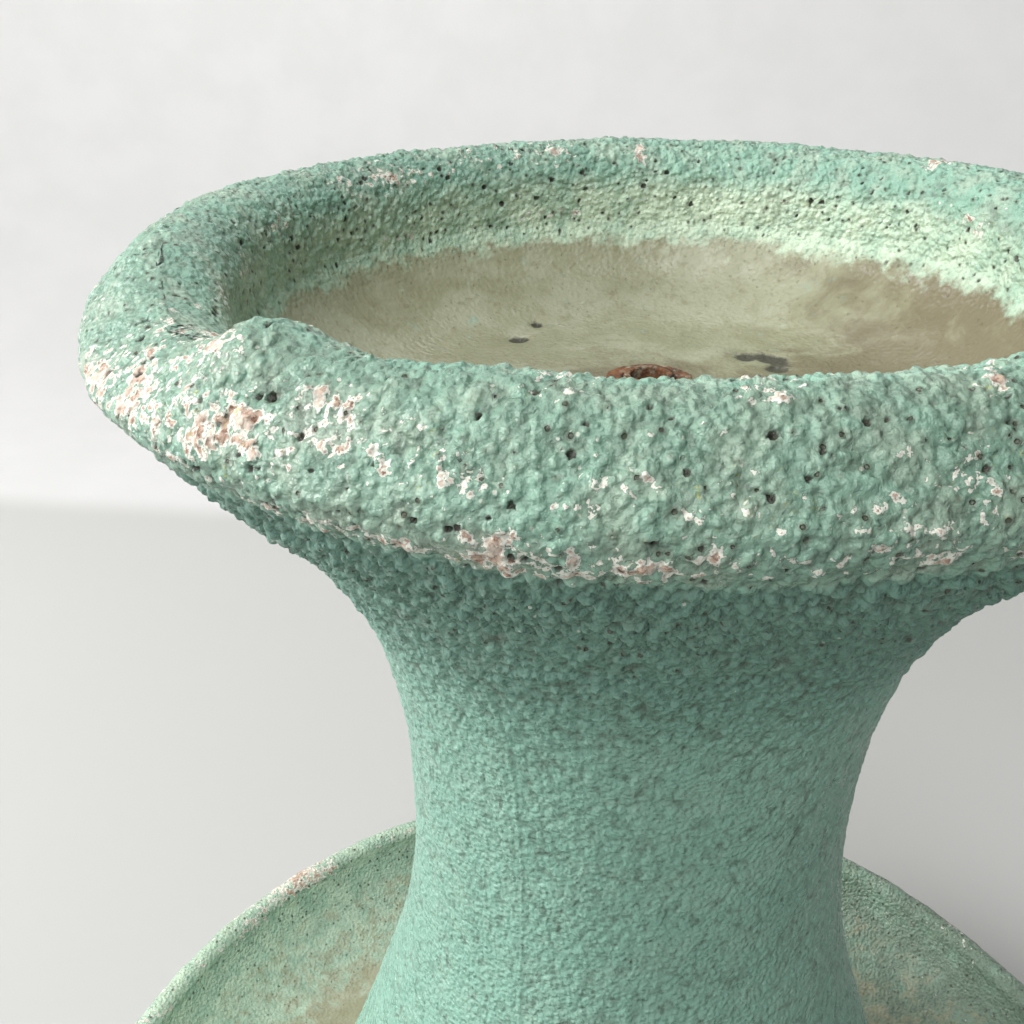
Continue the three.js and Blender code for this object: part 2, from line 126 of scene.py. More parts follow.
# ---------------------------------------------------------------- meshes


def new_object(name, mesh):
    piece = bpy.data.objects.new(name, mesh)
    bpy.context.collection.objects.link(piece)
    return piece


def dress(piece, node, slot, body="fountain"):
    """Gives the piece its body and its material, and hides the CAD node that it stands in for."""
    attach(piece, body)
    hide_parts(node)
    piece.data.materials.clear()
    piece.data.materials.append(FINISHES[slot])
    return piece


def reach(node, axis="z"):
    """Where the node's CAD solid starts and ends along the axis, in millimetres."""
    return [getattr(corner, axis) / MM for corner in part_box(node)]


def grid_mesh(name, points, rows, columns):
    """A torus-like mesh: rows run round the outline, columns round the axis, and both close."""
    index = np.arange(rows * columns).reshape(rows, columns)
    down = np.roll(index, -1, axis=0)
    quads = np.stack([index, np.roll(index, -1, axis=1), np.roll(down, -1, axis=1), down], axis=-1)
    quads = quads.reshape(-1, 4)
    mesh = bpy.data.meshes.new(name)
    mesh.vertices.add(len(points))
    mesh.vertices.foreach_set("co", points.astype(np.float32).ravel())
    mesh.loops.add(quads.size)
    mesh.loops.foreach_set("vertex_index", quads.astype(np.int32).ravel())
    mesh.polygons.add(len(quads))
    mesh.polygons.foreach_set("loop_start", np.arange(0, quads.size, 4, dtype=np.int32))
    mesh.update(calc_edges=True)
    return mesh


def revolved(name, profile, turns):
    """The profile turned round the Z axis at the given angles, with its faces outward."""
    radius, height = profile[:, :1], profile[:, 1:]
    level = np.repeat(height, len(turns), axis=1)
    points = np.stack([radius * np.cos(turns), radius * np.sin(turns), level], axis=-1)
    after = np.roll(profile, -1, axis=0)
    clockwise = np.sum(profile[:, 0] * after[:, 1] - after[:, 0] * profile[:, 1]) < 0
    if clockwise:
        points = points[::-1]
    return grid_mesh(name, points.reshape(-1, 3), len(profile), len(turns))


def positions(mesh, what="co"):
    flat = np.empty(len(mesh.vertices) * 3, dtype=np.float32)
    mesh.vertices.foreach_get(what, flat)
    return flat.reshape(-1, 3)


def round_axis(points):
    """The azimuth in degrees, the height and the radius of each point."""
    return azimuth(points), points[:, 2], np.hypot(points[:, 0], points[:, 1])


def move_to(mesh, points):
    mesh.vertices.foreach_set("co", points.astype(np.float32).ravel())
    mesh.update()


def store(mesh, **layers):
    """Keeps each array, or single value, as a number on every point, for the materials to read."""
    for name, values in layers.items():
        layer = mesh.attributes.new(name, "FLOAT", "POINT")
        layer.data.foreach_set("value", np.broadcast_to(values, len(mesh.vertices)).astype(np.float32))


# ---------------------------------------------------------------- noise


def hashed(cell, salt):
    """A repeatable random number from 0 to 1 for each whole-number cell."""
    x, y, z = (cell[:, axis].astype(np.int64).astype(np.uint32) for axis in range(3))
    mixed = (x * np.uint32(73856093)) ^ (y * np.uint32(19349663)) ^ (z * np.uint32(83492791))
    mixed ^= np.uint32((salt * 2654435761) % 2 ** 32)
    mixed ^= mixed >> np.uint32(15)
    mixed *= np.uint32(2246822519)
    mixed ^= mixed >> np.uint32(13)
    mixed *= np.uint32(3266489917)
    mixed ^= mixed >> np.uint32(16)
    return mixed.astype(np.float32) / np.float32(2 ** 32)


def smooth_noise(points, size, salt):
    """Value noise from -1 to 1 with features of the given size."""
    scaled = points / size
    cell = np.floor(scaled)
    part = scaled - cell
    part = part * part * (3 - 2 * part)
    total = np.zeros(len(points), dtype=np.float32)
    for corner in itertools.product((0, 1), repeat=3):
        weight = np.prod(np.where(corner, part, 1 - part), axis=1)
        total += weight * hashed(cell + corner, salt)
    return 2 * total - 1


def layered_noise(points, size, salt, layers=3):
    total = sum(smooth_noise(points, size / 2 ** k, salt + k) / 2 ** k for k in range(layers))
    return total / (2 - 2 ** (1 - layers))


def scattered(points, size, salt):
    """Distances to the two nearest scattered centres, in cell sizes, and the nearest one's own number."""
    scaled = (points / size).astype(np.float32)
    cell = np.floor(scaled)
    nearest = np.full(len(points), 9, dtype=np.float32)
    second = np.full(len(points), 9, dtype=np.float32)
    own = np.zeros(len(points), dtype=np.float32)
    for step in itertools.product((-1, 0, 1), repeat=3):
        home = cell + step
        centre = home + np.stack([hashed(home, salt + k) for k in range(3)], axis=1)
        gap = np.linalg.norm(scaled - centre, axis=1)
        closer = gap < nearest
        second = np.where(closer, nearest, np.minimum(second, gap))
        own = np.where(closer, hashed(home, salt + 3), own)
        nearest = np.where(closer, gap, nearest)
    return nearest, second, own


def ease(low, high, value):
    share = np.clip((value - low) / (high - low), 0, 1)
    return share * share * (3 - 2 * share)


def azimuth(points):
    return np.degrees(np.arctan2(points[:, 1], points[:, 0]))


def angle_bump(turn, centre, width):
    """1 at the centre azimuth, falling off like a bell; all in degrees."""
    away = (turn - centre + 180) % 360 - 180
    return np.exp(-(away / width) ** 2)


def patches(turn, height, spots):
    """The sum of soft spots, each (azimuth, height, half width in degrees, half height, strength)."""
    total = np.zeros(len(turn), dtype=np.float32)
    for centre, level, width, rise, strength in spots:
        spot = angle_bump(turn, centre, width) * np.exp(-((height - level) / rise) ** 2)
        total = np.maximum(total, strength * spot)
    return total


# ---------------------------------------------------------------- materials


class Finish:
    """One material being built: short calls that add nodes and give back their outputs."""

    def __init__(self, name):
        self.material = bpy.data.materials.new(name)
        self.material.use_nodes = True
        self.tree = self.material.node_tree
        self.tree.nodes.clear()
        self.shader = self.tree.nodes.new("ShaderNodeBsdfPrincipled")
        output = self.tree.nodes.new("ShaderNodeOutputMaterial")
        self.tree.links.new(self.shader.outputs[0], output.inputs[0])
        self.place = self.tree.nodes.new("ShaderNodeTexCoord").outputs["Object"]

    def put(self, socket, value):
        if isinstance(value, bpy.types.NodeSocket):
            self.tree.links.new(value, socket)
        elif isinstance(value, tuple):
            socket.default_value = (*value, 1) if len(socket.default_value) == 4 else value
        else:
            socket.default_value = value

    def node(self, kind, values, **settings):
        made = self.tree.nodes.new(kind)
        for key, value in settings.items():
            setattr(made, key, value)
        for key, value in values.items():
            self.put(made.inputs[key], value)
        return made

    def attribute(self, name):
        return self.node("ShaderNodeAttribute", {}, attribute_name=name).outputs["Fac"]

    def math(self, operation, first, second=0.0):
        return self.node("ShaderNodeMath", {0: first, 1: second}, operation=operation).outputs[0]

    def times(self, first, second):
        return self.math("MULTIPLY", first, second)

    def plus(self, first, second):
        return self.math("ADD", first, second)

    def noise(self, size, detail=3.0, roughness=0.55, warp=0.0, place=None):
        values = {"Vector": place or self.place, "Scale": 1 / (size * MM), "Detail": detail,
                  "Roughness": roughness, "Distortion": warp}
        return self.node("ShaderNodeTexNoise", values).outputs["Fac"]

    def cells(self, size, output="Distance", place=None, **settings):
        values = {"Vector": place or self.place, "Scale": 1 / (size * MM)}
        return self.node("ShaderNodeTexVoronoi", values, **settings).outputs[output]

    def stretched(self, x, y, z):
        return self.node("ShaderNodeMapping", {"Vector": self.place, "Scale": (x, y, z)}).outputs[0]

    def span(self, value, low, high, start=0.0, end=1.0):
        values = {"Value": value, "From Min": low, "From Max": high, "To Min": start, "To Max": end}
        return self.node("ShaderNodeMapRange", values, interpolation_type="SMOOTHSTEP").outputs[0]

    def mix(self, share, first, second):
        made = self.node("ShaderNodeMix", {}, data_type="RGBA")
        for socket, value in ((made.inputs[0], share), (made.inputs[6], first), (made.inputs[7], second)):
            self.put(socket, value)
        return made.outputs[2]

    def bump(self, height, depth, under=None, strength=1.0):
        values = {"Height": height, "Distance": depth * MM, "Strength": strength}
        if under is not None:
            values["Normal"] = under
        return self.node("ShaderNodeBump", values).outputs[0]

    def done(self, colour, roughness, normal=None, metallic=0.0, **extra):
        values = {"Base Color": colour, "Roughness": roughness, "Metallic": metallic, **extra}
        if normal is not None:
            values["Normal"] = normal
        for key, value in values.items():
            self.put(self.shader.inputs[key], value)
        return self.material


def make_painted_cement():
    f = Finish("painted_cement_weathered")
    lump, hollow, zone = f.attribute("lump"), f.attribute("hollow"), f.attribute("chip_zone")
    wet, under = f.attribute("deposit"), f.attribute("under")
    dusty, rust, grime = f.attribute("dusty"), f.attribute("rust"), f.attribute("grime")
    plain, mark = f.attribute("plain"), f.attribute("mark")
    calm = f.span(plain, 0.0, 1.0, 1.0, 0.25)
    broad, middle, close = f.noise(60, 4), f.noise(11, 4, 0.6), f.noise(2.6, 5, 0.6)

    paint = f.mix(f.span(broad, 0.35, 0.65), (0.182, 0.358, 0.272), (0.232, 0.428, 0.328))
    paint = f.mix(f.times(plain, 0.5), paint, (0.245, 0.465, 0.385))
    chalk = f.times(f.span(middle, 0.42, 0.66, 0.1, 0.75), f.span(under, 0.0, 0.8, 1.0, 0.25))
    paint = f.mix(f.times(chalk, calm), paint, (0.355, 0.455, 0.355))
    # Pale dust, and painted light: lighter on the bowl's back inner wall, which faces the lamps, and on the
    # basin's left side, towards the window.
    paint = f.mix(f.times(dusty, f.span(middle, 0.3, 0.6, 0.55, 1.0)), paint, (0.60, 0.73, 0.55))
    paint = f.mix(f.times(f.span(close, 0.5, 0.72, 0.0, 0.5), calm), paint, (0.15, 0.285, 0.22))
    # Painted shade: the paint darkens under the rim's overhang, on the neck below it and on the joint bead.
    paint = f.mix(f.times(under, 0.72), paint, (0.10, 0.20, 0.162))
    # Greyish grime on the bowl's rim; on the basin this is also painted shadow, heaviest on the right side,
    # away from the window light.
    grime_and_shadow_share = f.times(grime, f.span(f.noise(17, 4, 0.6), 0.3, 0.7, 0.45, 0.95))
    paint = f.mix(grime_and_shadow_share, paint, (0.165, 0.235, 0.175))
    # Darker between the lumps: partly dirt, partly painted shade in the crevices, heavier under the rim.
    crevice_dirt_and_shade = f.times(f.span(lump, 0.50, 0.10), f.span(f.noise(5, 3), 0.32, 0.6))
    crevice_dirt_and_shade = f.times(crevice_dirt_and_shade, f.span(under, 0.0, 1.0, 0.62, 0.85))
    crevice_dirt_and_shade = f.times(crevice_dirt_and_shade, f.span(dusty, 0.0, 1.0, 1.0, 0.3))
    paint = f.mix(crevice_dirt_and_shade, paint, (0.075, 0.11, 0.08))
    # Painted shade: the air holes cut into the mesh are painted near black.
    stain_and_hole_shade = f.times(f.span(hollow, 0.02, 0.4), 0.9)
    grey = f.times(f.span(f.noise(19, 4, 0.65, 0.4), 0.55, 0.72), f.span(zone, 0.0, 0.8, 0.12, 0.6))
    paint = f.mix(grey, paint, (0.33, 0.38, 0.31))

    speck_own = f.cells(3.4, "Color")
    speck = f.times(f.span(f.cells(3.4), 0.16, 0.11), f.span(speck_own, 0.74, 0.8))
    field = f.plus(f.times(zone, 0.97), f.times(f.plus(f.noise(2.7, 3, 0.6), -0.5), 2.3))
    field = f.plus(field, f.times(f.plus(f.noise(12, 3), -0.5), 1.0))
    field = f.plus(field, f.times(f.plus(lump, -0.45), 0.45))
    bare = f.span(field, 0.76, 0.79)
    core = f.span(field, 0.93, 1.03)
    mottle = f.noise(1.3, 4, 0.7)
    brown = f.mix(f.span(mottle, 0.34, 0.56), (0.20, 0.10, 0.06), (0.50, 0.37, 0.29))
    brown = f.mix(f.span(f.noise(5, 2), 0.45, 0.62, 0.0, 0.75), brown, (0.60, 0.53, 0.45))
    colour = f.mix(f.times(f.times(speck, 0.75), calm), paint, (0.60, 0.62, 0.53))
    colour = f.mix(bare, colour, (0.68, 0.69, 0.61))
    colour = f.mix(core, colour, brown)
    lichen = f.times(f.span(f.noise(2.2, 4, 0.7), 0.62, 0.68), f.span(f.noise(26, 2), 0.5, 0.62))
    colour = f.mix(f.times(lichen, f.span(zone, 0.05, 0.6, 0.0, 0.8)), colour, (0.34, 0.36, 0.10))
    # Painted shade: the small pores are painted near black, less so under the silt; the grey halo round them is
    # a stain.
    pore_own = f.cells(3.1, "Color")
    ragged = f.plus(f.cells(3.1), f.times(f.noise(0.9, 2), 0.16))
    pore = f.times(f.times(f.span(ragged, 0.27, 0.21), f.span(pore_own, 0.56, 0.62)), calm)
    colour = f.mix(f.times(pore, f.span(wet, 0.0, 1.0, 0.9, 0.25)), colour, (0.035, 0.028, 0.018))
    halo = f.times(f.span(f.cells(3.1), 0.42, 0.2), f.span(pore_own, 0.56, 0.62, 0.0, 0.55))
    colour = f.mix(f.times(f.times(halo, calm), f.span(wet, 0.0, 1.0, 0.9, 0.0)), colour, (0.10, 0.115, 0.08))
    # Painted shade inside the air holes.
    colour = f.mix(stain_and_hole_shade, colour, (0.035, 0.028, 0.018))

    edge = f.plus(wet, f.times(f.plus(f.noise(9, 5, 0.65), -0.5), 1.5))
    silt = f.mix(f.span(f.noise(28, 4, 0.6, 0.8), 0.38, 0.66), (0.275, 0.275, 0.175), (0.35, 0.355, 0.25))
    silt = f.mix(f.span(f.noise(4.5, 5, 0.65), 0.52, 0.70, 0.0, 0.55), silt, (0.20, 0.185, 0.105))
    silt = f.mix(f.span(f.noise(9, 4, 0.6), 0.62, 0.74, 0.0, 0.6), silt, (0.30, 0.42, 0.33))
    red = f.span(f.plus(rust, f.times(f.plus(f.noise(16, 5, 0.65, 0.8), -0.5), 1.2)), 0.35, 0.85)
    silt = f.mix(f.times(red, 0.9), silt, (0.15, 0.125, 0.07))
    blot = f.plus(mark, f.times(f.plus(f.noise(3, 4, 0.6), -0.5), 0.8))
    silt = f.mix(f.span(blot, 0.45, 0.75), silt, (0.045, 0.04, 0.028))
    colour = f.mix(f.times(f.span(edge, 0.38, 0.80), f.span(wet, 0.0, 0.08)), colour, silt)

    gloss = f.span(f.noise(8, 3), 0.35, 0.65, 0.22, 0.42)
    gloss = f.plus(gloss, f.times(bare, 0.45))
    gloss = f.plus(gloss, f.times(under, 0.10))
    gloss = f.plus(gloss, f.times(wet, 0.12))
    soft = f.cells(1.7, feature="SMOOTH_F1")
    height = f.plus(f.times(f.noise(1.5, 3, 0.55), 0.9), f.times(f.span(soft, 0.7, 0.05), 0.6))
    height = f.plus(height, f.times(bare, -0.4))
    height = f.plus(height, f.times(pore, -1.3))
    height = f.times(height, f.span(wet, 0.2, 1.0, 1.0, 0.25))
    rough = f.bump(height, 0.95)
    fine = f.bump(f.noise(0.5, 3, 0.6), 0.09, rough, 0.7)
    return f.done(colour, gloss, fine, **{"Specular IOR Level": 0.5})


def make_mortar():
    f = Finish("mortar_weathered")
    colour = f.mix(f.span(f.noise(9, 4), 0.35, 0.65), (0.30, 0.29, 0.225), (0.43, 0.41, 0.33))
    colour = f.mix(f.span(f.cells(1.6), 0.12, 0.3, 0.7, 0.0), colour, (0.19, 0.17, 0.12))
    colour = f.mix(f.span(f.noise(22, 3), 0.55, 0.7, 0.0, 0.5), colour, (0.30, 0.40, 0.32))
    height = f.plus(f.noise(2.2, 5, 0.65), f.times(f.cells(1.1), 0.4))
    return f.done(colour, f.span(height, 0.4, 0.9, 0.8, 0.95), f.bump(height, 0.5))


def make_rust():
    f = Finish("iron_rusted")
    scale = f.noise(3.2, 5, 0.65, 0.6)
    colour = f.mix(f.span(scale, 0.38, 0.62), (0.045, 0.022, 0.014), (0.19, 0.075, 0.03))
    colour = f.mix(f.span(f.noise(1.1, 4, 0.7), 0.5, 0.68, 0.0, 0.7), colour, (0.34, 0.17, 0.07))
    crust = f.times(f.span(f.noise(5, 4, 0.6), 0.5, 0.66), 0.75)
    colour = f.mix(crust, colour, (0.36, 0.33, 0.24))
    height = f.plus(scale, f.times(f.cells(1.0), -0.4))
    return f.done(colour, f.span(scale, 0.3, 0.7, 0.72, 0.95), f.bump(height, 0.45), metallic=0.1)


def make_zinc():
    f = Finish("zinc_dulled")
    spangle = f.cells(3.5, "Color")
    colour = f.mix(f.span(spangle, 0.2, 0.8), (0.36, 0.38, 0.385), (0.50, 0.52, 0.52))
    bloom = f.span(f.noise(8, 4, 0.65), 0.52, 0.68, 0.0, 0.8)
    colour = f.mix(bloom, colour, (0.55, 0.56, 0.54))
    rust = f.span(f.noise(15, 5, 0.7), 0.64, 0.70, 0.0, 0.8)
    colour = f.mix(rust, colour, (0.22, 0.10, 0.045))
    dull = f.plus(f.plus(f.span(spangle, 0.0, 1.0, 0.34, 0.48), f.times(bloom, 0.3)), f.times(rust, 0.3))
    shine = f.plus(f.span(bloom, 0.0, 1.0, 0.9, 0.3), f.times(rust, -0.3))
    return f.done(colour, dull, f.bump(f.noise(1.0, 4, 0.6), 0.08), metallic=shine)


def make_brass():
    f = Finish("brass_tarnished")
    patch = f.span(f.noise(10, 5, 0.65), 0.42, 0.66)
    colour = f.mix(patch, (0.60, 0.40, 0.155), (0.30, 0.19, 0.085))
    green = f.times(f.span(f.noise(6, 4, 0.7), 0.62, 0.70), 0.6)
    colour = f.mix(green, colour, (0.17, 0.32, 0.24))
    dull = f.plus(f.span(patch, 0.0, 1.0, 0.24, 0.45), f.times(green, 0.35))
    marks = f.noise(0.5, 2, 0.5, place=f.stretched(1, 1, 0.1))
    return f.done(colour, dull, f.bump(marks, 0.03), metallic=f.span(green, 0.0, 0.6, 1.0, 0.25))


def make_chrome():
    f = Finish("chrome_polished")
    worn = f.noise(2.5, 4, 0.7, place=f.stretched(1, 6, 1))
    colour = f.mix(f.span(worn, 0.4, 0.7), (0.62, 0.63, 0.64), (0.50, 0.49, 0.46))
    return f.done(colour, f.span(worn, 0.3, 0.8, 0.06, 0.2), f.bump(worn, 0.01), metallic=1.0)


def make_rubber():
    f = Finish("rubber_matt")
    dust = f.span(f.noise(4, 4, 0.7), 0.48, 0.7, 0.0, 0.6)
    colour = f.mix(dust, (0.014, 0.014, 0.015), (0.07, 0.068, 0.06))
    return f.done(colour, f.span(dust, 0.0, 0.6, 0.6, 0.88), f.bump(f.noise(0.8, 3), 0.05))


def make_ptfe():
    f = Finish("ptfe_matt")
    haze = f.noise(3, 4, 0.6)
    colour = f.mix(f.span(haze, 0.35, 0.65), (0.78, 0.77, 0.73), (0.66, 0.65, 0.60))
    return f.done(colour, f.span(haze, 0.3, 0.7, 0.38, 0.55), f.bump(f.noise(0.6, 2), 0.02))


def make_vinyl():
    f = Finish("vinyl_dipped")
    worn = f.span(f.noise(6, 5, 0.7), 0.5, 0.68, 0.0, 0.7)
    colour = f.mix(worn, (0.018, 0.075, 0.26), (0.06, 0.13, 0.30))
    flow = f.noise(4, 2, 0.4)
    return f.done(colour, f.span(worn, 0.0, 0.7, 0.28, 0.55), f.bump(flow, 0.25))


FINISHES = {
    "painted_cement": make_painted_cement(),
    "mortar": make_mortar(),
    "rusty_iron": make_rust(),
    "galvanised_steel": make_zinc(),
    "brass": make_brass(),
    "chromed_ball": make_chrome(),
    "rubber": make_rubber(),
    "ptfe": make_ptfe(),
    "vinyl": make_vinyl(),
}

# ---------------------------------------------------------------- castings

LIP_RADIUS = 17.2 * MM
LIP_RISE = 2.3 * MM
LIP_CENTRE = 141.5 * MM
RIM_RADIUS = 165 * MM
RIM_LEVEL = bowl_high.z - LIP_RADIUS - LIP_RISE
ARRIS = np.array([160 * MM, RIM_LEVEL - 11.4 * MM])
WATER_LEVEL = RIM_LEVEL - 9 * MM
SPILL = {"at": -145, "half_width": 24, "drop": 10 * MM, "pushed_out": 5 * MM}
MARK_DEPTH = 1.8 * MM
BOWL_FLOOR = bowl_low.z + 17 * MM
BASIN_FLOOR = basin_high.z - 47 * MM


def bowl_outline():
    seat, floor, wall = bowl_low.z, BOWL_FLOOR, 124 * MM
    shoulder = (RIM_RADIUS - 0.5 * MM, RIM_LEVEL + 4 * MM)
    top = arc((LIP_CENTRE, RIM_LEVEL + LIP_RISE), LIP_RADIUS, 42, 180)
    return outline(
        (line((PIPE_HOLE, seat), (112 * MM, seat)), 12 * MM),
        (line((112 * MM, seat), (116 * MM, seat)), 1 * MM),
        (bend((116 * MM, seat), (142 * MM, RIM_LEVEL - 36 * MM), ARRIS), 0.8 * MM),
        (bend(ARRIS, (RIM_RADIUS + 1 * MM, RIM_LEVEL - 5 * MM), (RIM_RADIUS, RIM_LEVEL)), 0.65 * MM),
        (bend((RIM_RADIUS, RIM_LEVEL), shoulder, top[0]), 0.65 * MM),
        (top, 0.65 * MM),
        (line(top[-1], (wall, RIM_LEVEL - 10 * MM)), 0.9 * MM),
        (bend((wall, RIM_LEVEL - 10 * MM), (112 * MM, floor + 2 * MM), (78 * MM, floor)), 1.3 * MM),
        (line((78 * MM, floor), (PIPE_HOLE, floor)), 1.6 * MM),
        (line((PIPE_HOLE, floor), (PIPE_HOLE, seat)), 5 * MM),
    )


def shape_rim(points):
    """The unevenness of a hand-made rim: a spill dip, lumps at the front left and a wavy lower arris."""
    turn, height, radius = round_axis(points)
    upper = ease(RIM_LEVEL - 6 * MM, RIM_LEVEL + 16 * MM, height)
    crest = (2.2 * angle_bump(turn, -125, 3.5) - 2.4 * angle_bump(turn, -133, 4.5)
             - 2.2 * angle_bump(turn, -112, 6) - 1.5 * angle_bump(turn, -150, 9))
    arris = np.exp(-((height - ARRIS[1]) / (7 * MM)) ** 2) * (radius > 140 * MM)
    wave = (1.9 * angle_bump(turn, -75, 8) - 0.8 * angle_bump(turn, -88, 7) - 1.0 * angle_bump(turn, -62, 7)
            + 1.0 * angle_bump(turn, -120, 9))
    away = np.abs((turn - SPILL["at"] + 180) % 360 - 180) / SPILL["half_width"]
    press = np.clip((height - ARRIS[1]) / (bowl_high.z - ARRIS[1]), 0, 1)
    press = press * np.where(away < 1, np.cos(away * np.pi / 2) ** 2, 0)
    moved = points.copy()
    moved[:, 2] += (upper * crest + arris * wave) * MM - press * SPILL["drop"]
    moved[:, :2] *= (1 + press * (radius < LIP_CENTRE) * SPILL["pushed_out"] / LIP_CENTRE)[:, None]
    return moved


def grain(points, zone, salt):
    """Lift along the surface, in metres, of rough cast cement under thick paint; zone holds its strengths."""
    swell = layered_noise(points, 24 * MM, salt) + 0.55 * layered_noise(points, 10 * MM, salt + 5)
    near, second, own = scattered(points, 3.6 * MM, salt + 10)
    lumps = (1 - np.clip(near, 0, 1) ** 2) * (0.35 + 0.65 * own)
    fine, _, fine_own = scattered(points, 2.0 * MM, salt + 20)
    beads = (1 - np.clip(fine, 0, 1) ** 2) * (0.3 + 0.7 * fine_own)
    seams = 1 - ease(0, 0.22, second - near)
    lift = zone["swell"] * swell + zone["lumps"] * (lumps - 0.45) + zone["beads"] * (beads - 0.45)
    return (lift - zone["seams"] * seams) * MM, lumps


def pits(points, size, share, radius, depth, salt):
    """Open air holes: scattered, a share of the cells having one, radius in cell sizes, depth in metres."""
    near, _, own = scattered(points, size, salt)
    reach = radius * (0.6 + 0.8 * own / share)
    hole = (own < share) * (1 - ease(0.45, 1.0, near / reach))
    return -depth * hole, hole


def weathered(mesh, zone, salt, pit_strength, settle):
    """Lifts the mesh's points by grain and pits, times settle, and stores both for the paint."""
    points, outward = positions(mesh), positions(mesh, "normal")
    lift, lumps = grain(points, zone, salt)
    small, small_mask = pits(points, 4.2 * MM, 0.40, 0.20, 1.8 * MM, salt + 30)
    large, large_mask = pits(points, 11 * MM, 0.35, 0.12, 2.4 * MM, salt + 40)
    lift = lift + pit_strength * (small + large)
    hollow = pit_strength * np.maximum(small_mask, large_mask)
    move_to(mesh, points + outward * (lift * settle)[:, None])
    store(mesh, hollow=hollow, lump=lumps)


RIM_CHIPS = [
    # azimuth, height above the rim plane (mm), half width (deg), half height (mm), strength
    (-131, 6, 20, 13, 0.80), (-143, -1, 9, 7, 0.95), (-122, 4, 10, 10, 0.9), (-103, -9, 18, 4.5, 0.95),
    (-110, 9, 12, 8, 0.72), (-92, -7, 14, 4, 0.8), (-76, -5, 14, 6, 0.68), (-85, 6, 12, 9, 0.5),
    (-95, 4, 20, 12, 0.42), (-70, 6, 14, 12, 0.5), (140, 14, 18, 7, 0.72), (112, 16, 14, 5, 0.62),
    (-168, 4, 16, 9, 0.5),
    (-146, -2, 5, 4, 1.0), (-134, 0, 6, 6, 1.0), (-127, 17, 4, 5, 1.0), (-121, 8, 7, 6, 0.95),
    (-114, 13, 6, 4, 0.85), (-108, 8, 5, 5, 0.8), (-102, 7, 3, 6, 0.7), (-126, -5, 5, 4, 0.8),
    (-112, -8, 4, 4, 0.85), (-105, -10, 4, 3, 0.9), (-98, -4, 4, 5, 1.0), (-93, -5, 4, 4, 0.95),
    (-99, -11, 6, 3, 0.95), (-89.5, -6, 1.2, 3, 1.1), (-85.5, -4, 2.4, 5, 0.85), (-87, 5, 2.5, 5, 0.6),
    (-82, 19, 3, 2, 0.8), (-74, 4, 4, 8, 0.6), (-72, -7, 2, 4, 0.9), (-66, -6, 3, 4, 0.85),
    (-64, 19, 3, 2, 0.8), (-97, 19, 5, 2, 0.6), (-158, 5, 4, 6, 0.6), (-170, 2, 6, 5, 0.5),
    (149, 15, 7, 5, 0.75), (135, 13, 8, 5, 0.7), (124, 16, 5, 4, 0.6), (109, 17, 3, 4, 0.8),
    (93.5, 16, 1.5, 6, 1.0), (44, 19, 2, 4, 1.0), (30, 4, 7, 7, 0.7), (5, -4, 8, 6, 0.7),
    (-25, -6, 7, 5, 0.8), (-42, 8, 6, 7, 0.6), (170, 8, 8, 6, 0.6), (110, -6, 9, 5, 0.8),
    (65, 0, 8, 6, 0.6), (140, -8, 8, 4, 0.8),
]


BOWL_MARKS = [
    # azimuth, radius (mm), half length along the circle (mm), half width (mm): dark hollows in the silt
    (49, 65, 11, 6.5), (42, 59, 5.5, 5), (56, 60, 5, 5), (129, 78, 5, 4.5), (120, 88, 3, 3),
]


def make_bowl():
    turns = front_weighted_turns(round(1280 / COARSE), 1.8)
    mesh = revolved("upper_bowl_casting", bowl_outline(), turns)
    move_to(mesh, shape_rim(positions(mesh)))
    points = positions(mesh)
    turn, height, radius = round_axis(points)
    mid_wall = 103 * MM + 1.3 * (height - BOWL_FLOOR)
    inside = (radius < np.minimum(mid_wall, LIP_CENTRE)) & (height > bowl_low.z + 10 * MM)
    # under: the outside below the rim's arris, rougher in grain and darker in paint as painted shade.
    under = (1 - ease(ARRIS[1] - 3.5 * MM, ARRIS[1] - 0.5 * MM, height)) * ~inside
    wall = inside * (1 - ease(RIM_LEVEL - 2 * MM, RIM_LEVEL + 12 * MM, height))
    wet = inside * (1 - ease(WATER_LEVEL - 16 * MM, WATER_LEVEL + 5 * MM, height))
    mark = np.zeros(len(points))
    for at, distance, long_half, wide_half in BOWL_MARKS:
        away = np.radians((turn - at + 180) % 360 - 180)
        along = away * radius / (long_half * MM)
        across = (radius - distance * MM) / (wide_half * MM)
        mark = np.maximum(mark, inside * np.exp(-along ** 2 - across ** 2))
    points[:, 2] -= MARK_DEPTH * mark
    move_to(mesh, points)
    skin = np.clip(angle_bump(turn, -152, 26), 0, 1)
    rough = (1 - 0.55 * skin) * (1 - 0.85 * wet)
    zone = {
        "swell": 0.9 * (1 - 0.6 * wet),
        "lumps": rough * (1.35 + 0.9 * under) * (1 - 0.35 * wall),
        "beads": rough * (1.05 + 0.45 * under),
        "seams": rough * (0.3 + 0.6 * under),
    }
    settle = ease(bowl_low.z, bowl_low.z + 2 * MM, height) * ease(PIPE_HOLE, PIPE_HOLE + 12 * MM, radius)
    weathered(mesh, zone, 11, (1 - 0.9 * under) * (1 - wet), settle)
    above = (height - RIM_LEVEL) / MM
    stain_and_hole_shade = np.maximum(np.exp(-((radius - 12 * MM) / (42 * MM)) ** 2), 0.9 * angle_bump(turn, 12, 55))
    store(mesh, chip_zone=patches(turn, above, RIM_CHIPS) * (1 - wet), deposit=wet, mark=mark, under=under,
          # Dust on the inner wall, with painted light heaviest on the back wall.
          dusty=wall * (0.35 + 0.65 * angle_bump(turn, 80, 60)), rust=inside * stain_and_hole_shade,
          grime=(above > -12) * ~inside * (0.35 + 0.2 * angle_bump(turn, -80, 50)))
    dress(new_object("upper_bowl_casting", mesh), "upper_bowl", "painted_cement")


